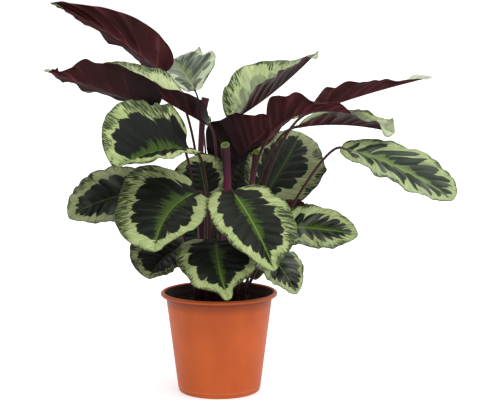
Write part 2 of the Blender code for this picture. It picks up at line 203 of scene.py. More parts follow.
class Graph:
    """The nodes of one finish or of the sky, with short ways to add them."""

    def __init__(self, owner: bpy.types.Material | bpy.types.World) -> None:
        """Start on the owner's own tree.

        Args:
            owner: The new material or world.
        """
        owner.use_nodes = True
        self.owner = owner
        self.tree = owner.node_tree
        self.shader = self.tree.nodes.get("Principled BSDF")

    def feed(self, socket: Socket, value: Number | Color | Point) -> None:
        """Link a socket to another one, or set its value.

        Args:
            socket: The socket to feed.
            value: What it gets.
        """
        if isinstance(value, bpy.types.NodeSocket):
            self.tree.links.new(value, socket)
        else:
            socket.default_value = value

    def node(self, kind: str, **settings: object) -> bpy.types.Node:
        """Add a node.

        Args:
            kind: Its type.
            settings: Its settings, by name.

        Returns:
            The node.
        """
        made = self.tree.nodes.new(kind)
        for name, value in settings.items():
            setattr(made, name, value)
        return made

    def math(self, operation: str, *values: Number) -> Socket:
        """Add one step of arithmetic.

        Args:
            operation: Which one.
            values: The numbers that it takes.

        Returns:
            Its result.
        """
        made = self.node("ShaderNodeMath", operation=operation)
        for socket, value in zip(made.inputs, values):
            self.feed(socket, value)
        return made.outputs[0]

    def add(self, *values: Number) -> Socket:
        """The sum of two values or more."""
        return reduce(lambda first, second: self.math("ADD", first, second), values)

    def times(self, *values: Number) -> Socket:
        """The product of two values or more."""
        return reduce(lambda first, second: self.math("MULTIPLY", first, second), values)

    def less(self, first: Number, second: Number) -> Socket:
        """The first value less the second."""
        return self.math("SUBTRACT", first, second)

    def weighed(self, values: tuple[Number, ...], weights: tuple[float, ...]) -> Socket:
        """The sum of some values, each times its weight."""
        return self.add(*[self.times(value, weight) for value, weight in zip(values, weights)])

    def step(self, value: Number, low: Number, high: Number) -> Socket:
        """Rise smoothly from 0 to 1 as a value goes from low to high.

        Args:
            value: The value.
            low: Where the rise starts.
            high: Where it ends; lower than low for a fall.

        Returns:
            The socket with the result.
        """
        made = self.node("ShaderNodeMapRange", interpolation_type="SMOOTHSTEP")
        for name, number in (("Value", value), ("From Min", low), ("From Max", high)):
            self.feed(made.inputs[name], number)
        return made.outputs["Result"]

    def stretch(self, value: Number, low: float, high: float, new_low: float, new_high: float) -> Socket:
        """Map a value from one span to another, and stop at its ends.

        Args:
            value: The value.
            low: Start of the span that it has.
            high: End of that span.
            new_low: Start of the span that it gets.
            new_high: End of that span.

        Returns:
            The socket with the result.
        """
        made = self.node("ShaderNodeMapRange")
        for socket, number in zip(made.inputs, (value, low, high, new_low, new_high)):
            self.feed(socket, number)
        return made.outputs["Result"]

    def spread(self, value: Number, span: Pair) -> Socket:
        """Map a value from 0 to 1 to another span."""
        return self.stretch(value, 0, 1, *span)

    def mix(self, share: Number, first: Socket | Color, second: Socket | Color) -> Socket:
        """Blend two colours.

        Args:
            share: 0 gives the first, and 1 the second.
            first: The first colour.
            second: The second colour.

        Returns:
            The socket with the blend.
        """
        made = self.node("ShaderNodeMix", data_type="RGBA")
        self.feed(made.inputs["Factor"], share)
        self.feed(made.inputs[6], first)
        self.feed(made.inputs[7], second)
        return made.outputs[2]

    def attribute(self, name: str, output: str = "Fac") -> Socket:
        """Read what a mesh stores under a name."""
        return self.node("ShaderNodeAttribute", attribute_name=name).outputs[output]

    def parts(self, vector: Socket) -> tuple[Socket, Socket, Socket]:
        """Take a vector apart.

        Args:
            vector: The vector.

        Returns:
            Its three numbers.
        """
        made = self.node("ShaderNodeSeparateXYZ")
        self.feed(made.inputs[0], vector)
        return made.outputs[0], made.outputs[1], made.outputs[2]

    def noise(self, vector: Socket, scale: float, detail: float = 2.0, rough: float = 0.5) -> Socket:
        """Smooth noise, spread over 0 to 1.

        Args:
            vector: Where it is read.
            scale: How fine it is.
            detail: How many finer layers it has.
            rough: How strong they are.

        Returns:
            The socket with the noise.
        """
        made = self.node("ShaderNodeTexNoise")
        self.feed(made.inputs["Vector"], vector)
        made.inputs["Scale"].default_value = scale
        made.inputs["Detail"].default_value = detail
        made.inputs["Roughness"].default_value = rough
        return self.stretch(made.outputs[0], *NOISE_SPAN, 0.0, 1.0)

    def grain(self, vector: Socket, scales: Point, detail: float = 2.0, rough: float = 0.5) -> Socket:
        """Noise that is finer one way than another.

        Args:
            vector: Where it is read.
            scales: How fine it is along each axis.
            detail: How many finer layers it has.
            rough: How strong they are.

        Returns:
            The socket with the noise.
        """
        made = self.node("ShaderNodeVectorMath", operation="MULTIPLY")
        self.feed(made.inputs[0], vector)
        self.feed(made.inputs[1], scales)
        return self.noise(made.outputs[0], 1.0, detail, rough)

    def place(self) -> Socket:
        """Where a point is on its object, in metres."""
        return self.node("ShaderNodeTexCoord").outputs["Object"]

    def rib_mask(self, vein: Socket, outer: Pair, inner: Pair) -> Socket:
        """Where a blade's rib is: its soft edge, in mm from its middle, at the foot and at the tip."""
        return self.step(self.attribute("rib"), self.spread(vein, outer), self.spread(vein, inner))

    def bump(self, height: Number, distance: float, strength: float) -> None:
        """Roughen the surface.

        Args:
            height: The height, 0 to 1.
            distance: What a height of 1 stands for, in metres.
            strength: How much of it shows.
        """
        made = self.node("ShaderNodeBump")
        made.inputs["Distance"].default_value = distance
        made.inputs["Strength"].default_value = strength
        self.feed(made.inputs["Height"], height)
        self.feed(self.shader.inputs["Normal"], made.outputs[0])

    def dress(self, color: Number | Color, roughness: Number, **settings: float) -> bpy.types.Material:
        """Give the shader its colour, its roughness and its fixed values.

        Args:
            color: The base colour.
            roughness: The roughness.
            settings: More of the shader's values, with _ for a space in their names.

        Returns:
            The finished material.
        """
        self.feed(self.shader.inputs["Base Color"], color)
        self.feed(self.shader.inputs["Roughness"], roughness)
        for name, value in settings.items():
            self.shader.inputs[name.replace("_", " ")].default_value = value
        return self.owner


@dataclass
class BladePlan:
    """What the parts of a blade's pattern read.

    vein and out are the places along the rib and outwards, depth the distance from the margin, and
    wander, strokes and fine are noises from broad to fine.
    """
    marking: Socket
    vein: Socket
    out: Socket
    depth: Socket
    wander: Socket
    strokes: Socket
    fine: Socket


@dataclass(frozen=True)
class BladeTop:
    """The patterned upper side of a blade: margin, light band, dark heart, feather and rib, with streaks of
    painted sheen over it.

    Widths are shares of half the blade's width, counted from the margin, and counts are for one
    half. A grain is how fine a noise is along the rib, outwards and from blade to blade, and layers
    are its detail and its roughness. An edge is where a mask sets in and where it is full, a span
    maps its first two numbers to its last two, and weights are for the parts of a sum. rib_outer
    and rib_inner are for the foot and the tip, and heart_crisp moves the ends of the heart's tones.
    margin_fine, margin_strokes and roughness are what a noise of 0 and one of 1 give.
    """
    name: str
    band: float = 0.30
    spike: float = 0.17
    lobes: float = 7.0
    margin: float = 0.115
    feather: float = 0.24
    teeth: float = 42.0
    tooth: float = 1.5
    glow: float = 1.0
    curve: float = 0.42
    crisp: float = 0.0
    soft: float = 0.014
    heart: Color = paint(13, 16, 11)
    heart_light: Color = paint(28, 33, 23)
    light: Color = paint(122, 136, 82)
    light_pale: Color = paint(160, 172, 121)
    edge: Color = paint(54, 68, 32)
    edge_dark: Color = paint(29, 38, 20)
    green: Color = paint(38, 55, 22)
    green_light: Color = paint(64, 85, 33)
    rib: Color = paint(102, 124, 56)
    # Painted sheen: the pale colour that the bloom streaks mix in.
    sheen_grey: Color = paint(128, 134, 122)
    dry: Color = paint(184, 188, 170)
    wander_grain: Point = (5.0, 1.2, 3.1)
    stroke_grain: Point = (70.0, 3.0, 5.3)
    fine_grain: Point = (150.0, 5.0, 7.7)
    painted_sheen_grain: Point = (9.0, 1.1, 6.7)
    heart_grain: Point = (17.0, 1.5, 2.3)
    teeth_grain: Pair = (2.0, 11.9)
    teeth_layers: Pair = (2.0, 0.6)
    wander_detail: float = 1.0
    rib_outer: Pair = (1.1, 0.4)
    rib_inner: Pair = (0.5, 0.1)
    painted_sheen_span: Span = (0.40, 0.95, 0.0, 2.0)
    worn_edge: Pair = (0.58, 0.76)
    lobe_wander: float = 0.9
    heart_span: Span = (0.35, 1.0, 1.0, 0.62)
    heart_wander: float = 0.10
    heart_strokes: float = 0.055
    heart_weights: Pair = (0.55, 0.3)
    heart_crisp: Pair = (0.36, -0.48)
    feather_edge: Pair = (0.0, 0.30)
    feather_fall: float = 0.8
    feather_peak: float = 1.25
    feather_light: float = 1.1
    feather_soft: float = 0.018
    margin_fine: Pair = (0.20, 2.0)
    margin_strokes: Pair = (0.45, 1.55)
    margin_wander: Span = (-0.28, 0.28, 0.25, 1.75)
    margin_span: Span = (0.50, 0.92, 1.0, 0.12)
    margin_gaps: Span = (0.32, 0.52, 0.50, 1.0)
    margin_soft: float = 0.03
    edge_share: float = 0.8
    relief: float = 0.0002
    relief_share: float = 0.55
    relief_weights: Pair = (0.6, 0.6)
    roughness: Pair = (0.36, 0.48)
    shine: float = 0.10

    def material(self) -> bpy.types.Material:
        """Build the finish.

        Returns:
            The material.
        """
        g = Graph(bpy.data.materials.new(self.name))
        plan = self.plan(g)
        heart = self.heart_mask(g, plan)
        light = g.mix(plan.strokes, self.light, self.light_pale)
        ground = g.mix(heart, light, self.heart_color(g, plan))
        ground = self.with_feather(g, plan, ground, heart)
        ground = self.with_margin(g, plan, ground, heart)
        ground = g.mix(g.rib_mask(plan.vein, self.rib_outer, self.rib_inner), ground, self.rib)
        # Painted sheen: pale streaks laid over the pattern, as strong as each half's bloom.
        streaks = g.stretch(g.grain(plan.marking, self.painted_sheen_grain), *self.painted_sheen_span)
        color = g.mix(g.times(g.attribute("painted_sheen"), streaks), ground, self.sheen_grey)
        worn = g.times(g.step(plan.vein, *self.worn_edge), g.attribute("worn"))
        color = g.mix(worn, color, self.dry)
        relief = g.weighed((plan.fine, plan.strokes), self.relief_weights)
        g.bump(relief, self.relief, self.relief_share)
        return g.dress(color, g.spread(plan.strokes, self.roughness), Specular_IOR_Level=self.shine)

    def plan(self, g: Graph) -> BladePlan:
        """Read the blade's places, and make the noises that its pattern shares.

        Args:
            g: The finish's nodes.

        Returns:
            The plan.
        """
        marking = g.attribute("marking", "Vector")
        vein, across, _ = g.parts(marking)
        wander = g.add(g.grain(marking, self.wander_grain, self.wander_detail), -0.5)
        strokes = g.grain(marking, self.stroke_grain)
        fine = g.grain(marking, self.fine_grain)
        out, depth = g.math("ABSOLUTE", across), g.attribute("depth")
        return BladePlan(marking, vein, out, depth, wander, strokes, fine)

    def heart_mask(self, g: Graph, plan: BladePlan) -> Socket:
        """Where the dark heart is: round lobes outwards, with light spikes between them.

        Args:
            g: The finish's nodes.
            plan: The blade's plan.

        Returns:
            The mask, 1 in the heart.
        """
        turns = g.weighed((plan.vein, plan.wander), (self.lobes, self.lobe_wander))
        turns = g.times(turns, math.pi)
        lobe = g.math("POWER", g.math("ABSOLUTE", g.math("SINE", turns)), self.curve)
        start = g.add(self.band + self.spike, g.times(lobe, -self.spike))
        start = g.times(start, g.attribute("breadth"), g.stretch(plan.vein, *self.heart_span))
        start = g.add(start, g.times(plan.wander, self.heart_wander))
        start = g.add(start, g.times(g.add(plan.strokes, -0.5), self.heart_strokes))
        return g.step(plan.depth, g.add(start, -self.soft), g.add(start, self.soft))

    def heart_color(self, g: Graph, plan: BladePlan) -> Socket:
        """The dark heart's colour, lighter along some veins: its own tone there, and on the streaked, pale,
        mottled and whitish markings painted sheen as well.

        Args:
            g: The finish's nodes.
            plan: The blade's plan.

        Returns:
            The colour.
        """
        broad = g.grain(plan.marking, self.heart_grain)
        share = g.weighed((broad, plan.strokes), self.heart_weights)
        low, high = self.heart_crisp
        share = g.stretch(share, low * self.crisp, 1.0 + high * self.crisp, 0, 1)
        return g.mix(share, self.heart, self.heart_light)

    def with_feather(self, g: Graph, plan: BladePlan, ground: Socket, heart: Socket) -> Socket:
        """Lay the green feather along the rib, with teeth that follow the veins.

        Args:
            g: The finish's nodes.
            plan: The blade's plan.
            ground: The colour so far.
            heart: The heart's mask.

        Returns:
            The colour with the feather.
        """
        rise = g.step(plan.vein, *self.feather_edge)
        fall = g.math("POWER", g.math("MAXIMUM", g.less(1.0, plan.vein), 0.0), self.feather_fall)
        teeth = g.grain(plan.marking, (self.teeth, *self.teeth_grain), *self.teeth_layers)
        tooth = g.spread(teeth, (1.0 - self.tooth / 2, 1.0 + self.tooth / 2))
        reach = g.times(rise, fall, self.feather * self.feather_peak, tooth, g.attribute("feather"))
        inside = g.step(plan.out, g.add(reach, self.feather_soft), g.add(reach, -self.feather_soft))
        near = g.step(plan.out, g.times(reach, self.feather_light), 0.0)
        color = g.mix(near, self.green, self.green_light)
        return g.mix(g.times(inside, heart, self.glow), ground, color)

    def with_margin(self, g: Graph, plan: BladePlan, ground: Socket, heart: Socket) -> Socket:
        """Draw the dark green margin on the light band, broken up into strokes inwards.

        Args:
            g: The finish's nodes.
            plan: The blade's plan.
            ground: The colour so far.
            heart: The heart's mask.

        Returns:
            The colour with the margin.
        """
        width = g.times(g.spread(plan.fine, self.margin_fine), self.margin,
                        g.spread(plan.strokes, self.margin_strokes),
                        g.stretch(plan.wander, *self.margin_wander), g.attribute("edging"),
                        g.stretch(plan.vein, *self.margin_span))
        edge = g.step(plan.depth, g.add(width, self.margin_soft), g.add(width, -self.margin_soft))
        edge = g.times(edge, g.stretch(plan.fine, *self.margin_gaps), g.less(1.0, heart))
        color = g.mix(g.times(plan.strokes, self.edge_share), self.edge_dark, self.edge)
        return g.mix(edge, ground, color)


class Marking(Enum):
    """How a blade's upper side is marked. SHADED and DEEP_SHADE are darker copies of the pattern, painted
    shade for blades deep in the plant. PALE_SHEEN, MOTTLED_SHEEN and WHITISH_SHEEN are paler copies: partly
    painted sheen of light glancing off the upper blades, partly the paler tones of young leaves.
    SHEEN_STREAKED has streaks of painted sheen on its dark heart.
    """
    RING = BladeTop("Blade top, dark heart")
    DEEP = BladeTop("Blade top, deep heart", heart=paint(8, 10, 7), heart_light=paint(18, 22, 15))
    # Painted sheen: the lighter streaks on this heart.
    SHEEN_STREAKED = BladeTop("Blade top, streaks of painted sheen", spike=0.34, lobes=9.0, curve=0.75, crisp=0.9, soft=0.02,
                        heart_light=paint(50, 57, 46))
    FINGERS = BladeTop("Blade top, fingers", band=0.20, spike=0.45, lobes=8.5, curve=0.8, margin=0.06,
                       feather=0.20, teeth=12.0, heart=paint(30, 37, 29), heart_light=paint(58, 68, 54),
                       green=paint(84, 100, 60), green_light=paint(112, 132, 74), light=paint(118, 133, 88),
                       light_pale=paint(158, 170, 122), rib=paint(124, 148, 84), edge=paint(66, 86, 44))
    SHADED = BladeTop("Blade top, shaded", glow=0.6, light=paint(106, 114, 76),
                      light_pale=paint(140, 148, 106), green=paint(34, 44, 26),
                      green_light=paint(46, 60, 33), edge=paint(36, 44, 28), rib=paint(64, 80, 42))
    # Painted shade: a near black copy for blades at the back.
    DEEP_SHADE = BladeTop("Blade top, painted deep shade", glow=0.4, light=paint(54, 56, 38), light_pale=paint(74, 77, 56),
                   green=paint(26, 33, 22), green_light=paint(34, 43, 27), edge=paint(27, 32, 22),
                   rib=paint(44, 52, 32))
    # Painted sheen, partly also young leaves' paler tone: the three pale copies below.
    PALE_SHEEN = BladeTop("Blade top, pale with painted sheen", spike=0.24, crisp=0.6, soft=0.04, heart=paint(98, 110, 78),
                    heart_light=paint(140, 150, 114), light=paint(140, 153, 98),
                    light_pale=paint(172, 182, 134), glow=0.35, rib=paint(150, 156, 108),
                    edge=paint(62, 80, 40), edge_dark=paint(48, 64, 34))
    MOTTLED_SHEEN = BladeTop("Blade top, mottled with painted sheen", band=0.62, spike=0.2, margin=0.24, heart=paint(110, 118, 88),
                       heart_light=paint(150, 158, 122), light=paint(146, 157, 108),
                       light_pale=paint(176, 185, 142), glow=0.2, edge=paint(56, 76, 38))
    WHITISH_SHEEN = BladeTop("Blade top, whitish with painted sheen", band=0.10, spike=0.46, lobes=4.5, margin=0.02, feather=0.2,
                     crisp=0.9, heart=paint(58, 66, 54), heart_light=paint(112, 121, 102),
                     light=paint(148, 158, 122), light_pale=paint(182, 190, 164), glow=0.5,
                     green=paint(124, 136, 96), green_light=paint(148, 160, 112),
                     rib=paint(160, 168, 118), edge=paint(84, 102, 60), edge_dark=paint(70, 88, 52))


@dataclass(frozen=True)
class BladeUnder:
    """The burgundy underside of a blade, with painted highlights on its ridges, painted shade in its furrows
    and painted shade towards its foot.

    Its numbers are named in the way of the upper side's.
    """
    name: str = "Blade underside"
    deep: Color = paint(30, 11, 13)
    red: Color = paint(70, 24, 26)
    # Pale tone for the dust specks, also the painted highlight on the ridges.
    dust_and_highlight: Color = paint(98, 58, 62)
    rib: Color = paint(74, 38, 44)
    # Painted shade: the dark tone laid over shaded undersides.
    under_shade: Color = paint(20, 11, 13)
    broad_grain: Point = (6.0, 1.6, 2.9)
    stroke_grain: Point = (60.0, 2.2, 4.1)
    dust_grain: Point = (24.0, 1.8, 9.1)
    red_weights: Pair = (0.7, 0.3)
    dust_share: float = 0.16
    rib_outer: Pair = (2.0, 0.8)
    rib_inner: Pair = (1.0, 0.3)
    rib_share: float = 0.6
    ridge_edge: Pair = (0.45, 0.0)
    # Painted highlight on the ridges, and painted shade in the furrows between them.
    ridge_highlight_span: Span = (0.35, 0.65, 0.05, 0.55)
    furrow_shade_edge: Pair = (0.55, 1.0)
    furrow_shade_share: float = 0.35
    # Painted shade towards the foot: its strength along the rib.
    under_shade_span: Span = (0.05, 0.65, 1.0, 0.12)
    relief: float = 0.0003
    relief_share: float = 0.8
    relief_weights: Pair = (0.6, 0.8)
    roughness: Pair = (0.38, 0.50)
    shine: float = 0.07

    def material(self) -> bpy.types.Material:
        """Build the finish.

        Returns:
            The material.
        """
        g = Graph(bpy.data.materials.new(self.name))
        marking = g.attribute("marking", "Vector")
        vein, _, _ = g.parts(marking)
        broad = g.grain(marking, self.broad_grain)
        strokes = g.grain(marking, self.stroke_grain)
        color = g.mix(g.weighed((broad, strokes), self.red_weights), self.deep, self.red)
        color = g.mix(g.times(g.grain(marking, self.dust_grain), self.dust_share), color, self.dust_and_highlight)
        rib = g.rib_mask(vein, self.rib_outer, self.rib_inner)
        color = g.mix(g.times(rib, self.rib_share), color, self.rib)
        # Painted highlight on the pleats' ridges.
        ridge = g.step(g.attribute("ridge"), *self.ridge_edge)
        color = g.mix(g.times(ridge, g.stretch(broad, *self.ridge_highlight_span)), color, self.dust_and_highlight)
        # Painted shade in the furrows between the ridges.
        furrow_shade = g.step(g.attribute("ridge"), *self.furrow_shade_edge)
        color = g.mix(g.times(furrow_shade, self.furrow_shade_share), color, self.deep)
        # Painted shade over the underside, strongest towards the foot.
        under_shade = g.times(g.attribute("under_shade"), g.stretch(vein, *self.under_shade_span))
        color = g.mix(under_shade, color, self.under_shade)
        g.bump(g.weighed((strokes, ridge), self.relief_weights), self.relief, self.relief_share)
        return g.dress(color, g.spread(strokes, self.roughness), Specular_IOR_Level=self.shine)


@dataclass(frozen=True)
class StalkSkin:
    """The skin of a stalk or a cut stem, with fine lengthwise streaks."""
    name: str
    foot: Color
    middle: Color
    top: Color
    streak: Color
    middle_edge: Pair = (0.0, 0.5)
    top_edge: Pair = (0.80, 1.0)
    streak_grain: Point = (9.0, 5.0, 3.7)
    streak_detail: float = 3.0
    streak_share: float = 0.4
    speck_noise: Pair = (900.0, 3.0)
    relief: float = 0.00015
    relief_share: float = 0.5
    relief_weights: Pair = (0.6, 0.4)
    roughness: Pair = (0.34, 0.48)
    shine: float = 0.15

    def material(self) -> bpy.types.Material:
        """Build the finish.

        Returns:
            The material.
        """
        g = Graph(bpy.data.materials.new(self.name))
        marking = g.attribute("marking", "Vector")
        _, along, _ = g.parts(marking)
        streaks = g.grain(marking, self.streak_grain, self.streak_detail)
        color = g.mix(g.step(along, *self.middle_edge), self.foot, self.middle)
        color = g.mix(g.step(along, *self.top_edge), color, self.top)
        color = g.mix(g.times(streaks, self.streak_share), color, self.streak)
        speck = g.noise(g.place(), *self.speck_noise)
        g.bump(g.weighed((streaks, speck), self.relief_weights), self.relief, self.relief_share)
        return g.dress(color, g.spread(speck, self.roughness), Specular_IOR_Level=self.shine)


class Skin(Enum):
    """The skins of the stalks and of the cut stems."""
    STALK = StalkSkin("Stalk", foot=paint(44, 21, 22), middle=paint(48, 26, 23), top=paint(46, 28, 24),
                      streak=paint(66, 44, 36))
    TALL = StalkSkin("Tall cut stem", foot=paint(56, 20, 36), middle=paint(58, 22, 36),
                     top=paint(56, 22, 30), streak=paint(76, 36, 48))
    PURPLE = StalkSkin("Cut stem", foot=paint(40, 14, 24), middle=paint(98, 26, 60), top=paint(38, 18, 25),
                       streak=paint(70, 26, 42), top_edge=(0.72, 0.92))


@dataclass(frozen=True)
class CutFace:
    """The green cut through a stem: a rim, moist flesh, pores and a core."""
    name: str = "Cut face"
    rim: Color = paint(96, 118, 34)
    flesh: Color = paint(62, 76, 26)
    pore: Color = paint(48, 58, 26)
    pore_noise: Pair = (1600.0, 2.0)
    pore_edge: Pair = (0.62, 0.8)
    rim_edge: Pair = (0.72, 0.95)
    core_edge: Pair = (0.35, 0.1)
    relief: float = 0.0002
    relief_share: float = 0.6
    roughness: float = 0.4
    shine: float = 0.12

    def material(self) -> bpy.types.Material:
        """Build the finish.

        Returns:
            The material.
        """
        g = Graph(bpy.data.materials.new(self.name))
        radius = g.attribute("radius")
        pores = g.noise(g.place(), *self.pore_noise)
        color = g.mix(g.step(pores, *self.pore_edge), self.flesh, self.pore)
        color = g.mix(g.step(radius, *self.rim_edge), color, self.rim)
        color = g.mix(g.step(radius, *self.core_edge), color, self.pore)
        g.bump(pores, self.relief, self.relief_share)
        return g.dress(color, self.roughness, Specular_IOR_Level=self.shine)


@dataclass(frozen=True)
class SoilGrain:
    """Moist, dark potting soil with crumbs of a few tones."""
    name: str = "Potting soil"
    dark: Color = paint(16, 11, 10)
    brown: Color = paint(42, 30, 24)
    bark: Color = paint(82, 52, 42)
    fine_noise: Point = (700.0, 4.0, 0.6)
    broad_noise: Pair = (90.0, 3.0)
    brown_share: float = 0.42
    bark_edge: Pair = (0.84, 1.0)
    relief: float = 0.0006
    relief_share: float = 0.8
    roughness: Pair = (0.98, 0.8)
    shine: float = 0.1

    def material(self) -> bpy.types.Material:
        """Build the finish.

        Returns:
            The material.
        """
        g = Graph(bpy.data.materials.new(self.name))
        fine = g.noise(g.place(), *self.fine_noise)
        broad = g.noise(g.place(), *self.broad_noise)
        color = g.mix(g.times(g.add(fine, broad), self.brown_share), self.dark, self.brown)
        color = g.mix(g.step(g.attribute("tone"), *self.bark_edge), color, self.bark)
        g.bump(fine, self.relief, self.relief_share)
        return g.dress(color, g.spread(fine, self.roughness), Specular_IOR_Level=self.shine)


@dataclass(frozen=True)
class PotPlastic:
    """Terracotta coloured moulded plastic, with faint flow lines and scuffs, and painted shade inside.

    The painted shade under the lip and the painted highlight along the crease over the foot lie at heights on
    the pot, in metres.
    """
    name: str = "Pot plastic"
    orange: Color = paint(190, 89, 37)
    deep: Color = paint(158, 68, 27)
    # Pale rubbed tone of the scuffs and the worn lip, also the painted highlight along the crease.
    scuff_and_highlight: Color = paint(186, 108, 74)
    shade: Color = paint(96, 38, 20)
    # Painted shade: the near black laid over the inside of the pot.
    inner_shade: Color = paint(20, 13, 11)
    flow_grain: Point = (60.0, 60.0, 9.0)
    flow_detail: float = 3.0
    cloud_noise: Pair = (22.0, 2.0)
    fine_noise: Pair = (1300.0, 3.0)
    deep_weights: Pair = (0.3, 0.4)
    scuff_grain: Point = (140.0, 140.0, 420.0)
    scuff_layers: Pair = (4.0, 0.7)
    scuff_edge: Pair = (0.80, 0.97)
    wear_edge: Pair = (0.3, 1.0)
    scuff_weights: Pair = (0.25, 0.25)
    shade_rise: Pair = (0.100, 0.1158)
    shade_fall: Pair = (0.1180, 0.1168)
    shade_share: float = 0.75
    # Painted highlight along the crease over the foot's step.
    crease_highlight_height: float = 0.0065
    crease_highlight_edge: Pair = (0.0012, 0.0004)
    crease_highlight_share: float = 0.55
    # Painted shade inside the pot: where it sets in, and its strength.
    inner_shade_edge: Pair = (0.0, 0.3)
    inner_shade_shares: Pair = (0.9, 1.0)
    relief: float = 0.00008
    relief_share: float = 0.5
    relief_weights: Pair = (0.5, 0.5)
    roughness: Pair = (0.44, 0.52)
    scuff_roughness: float = 0.12
    shine: float = 0.2

    def material(self) -> bpy.types.Material:
        """Build the finish.

        Returns:
            The material.
        """
        g = Graph(bpy.data.materials.new(self.name))
        place = g.place()
        _, _, height = g.parts(place)
        flow = g.grain(place, self.flow_grain, self.flow_detail)
        cloud = g.noise(place, *self.cloud_noise)
        fine = g.noise(place, *self.fine_noise)
        color = g.mix(g.weighed((flow, cloud), self.deep_weights), self.orange, self.deep)
        scuffs = g.step(g.grain(place, self.scuff_grain, *self.scuff_layers), *self.scuff_edge)
        wear = g.step(g.attribute("wear"), *self.wear_edge)
        color = g.mix(g.weighed((scuffs, wear), self.scuff_weights), color, self.scuff_and_highlight)
        shade = g.times(g.step(height, *self.shade_rise), g.step(height, *self.shade_fall), self.shade_share)
        color = g.mix(shade, color, self.shade)
        # Painted highlight: a pale line along the crease over the foot's step.
        crease = g.step(g.math("ABSOLUTE", g.add(height, -self.crease_highlight_height)), *self.crease_highlight_edge)
        color = g.mix(g.times(crease, self.crease_highlight_share), color, self.scuff_and_highlight)
        # Painted shade inside the pot, a little uneven.
        inner_shade = g.times(g.step(g.attribute("inner_shade"), *self.inner_shade_edge), g.spread(cloud, self.inner_shade_shares))
        color = g.mix(inner_shade, color, self.inner_shade)
        g.bump(g.weighed((fine, flow), self.relief_weights), self.relief, self.relief_share)
        roughness = g.add(g.spread(fine, self.roughness), g.times(scuffs, self.scuff_roughness))
        return g.dress(color, roughness, Specular_IOR_Level=self.shine)


@dataclass(frozen=True)
class Ruffle:
    """A local change of a blade's margin.

    side is -1 for the left half and 1 for the right one, at is its place from 0 at the foot to 1 at
    the tip, width is its half length there, and out and lift are how far the margin goes outwards
    and towards the upper side.
    """
    side: int
    at: float
    width: float
    out: float
    lift: float = 0.0


@dataclass(frozen=True)
class Leaf:
    """One blade and its stalk, as the part has them, with how the blade is marked.

    base, middle and tip are points on the rib. face is where the upper side looks. halves and fold
    are pairs for the left and the right half, as seen on the upper side with the tip up: the width
    of the half, and its rise from the rib in degrees. root is where the stalk leaves the soil.
    Low powers shoulder and point make a round foot and a round tip, lobe draws the foot's two
    lobes back, and wave and waves are the height and the number of the margin's waves. start and
    end are the lengths of the stalk's two straight ends, and lean is how far it leans at the soil.
    pleat is the height of the folds between side veins, scallop how far the margin bulges at each
    of them, and curl how far the tip is turned about the rib, from curl_from on. sweep is how far
    the side veins lean towards the tip. For each half bloom is how strong the painted sheen on its
    top is and dusk how strong the painted shade on its underside is, most towards the foot, and
    breadth and edging are the widths of its light band and of its dark margin. feather is the
    width of the green along the rib, and worn how withered the tip is.
    """
    name: str
    base: Point
    middle: Point
    tip: Point
    face: Point
    halves: Pair
    root: Pair
    fold: Pair = (10, 10)
    shoulder: float = 0.50
    point: float = 0.70
    lobe: float = 0.004
    wave: float = 0.0018
    waves: float = 3.5
    start: float = 0.42
    end: float = 0.20
    lean: float = 0.35
    thick: float = 0.0017
    ruffles: tuple[Ruffle, ...] = ()
    marking: Marking = Marking.RING
    veins: float = 9.0
    pleat: float = 0.0010
    scallop: float = 0.02
    curl: float = 0.0
    curl_from: float = 0.86
    # Painted sheen on the top of each half.
    painted_sheen: Pair = (0.0, 0.0)
    # Painted shade on the underside of each half.
    under_shade: Pair = (0.0, 0.0)
    breadth: Pair = (1.0, 1.0)
    edging: Pair = (1.0, 1.0)
    feather: float = 1.0
    worn: float = 0.0
    sweep: float = 1.0


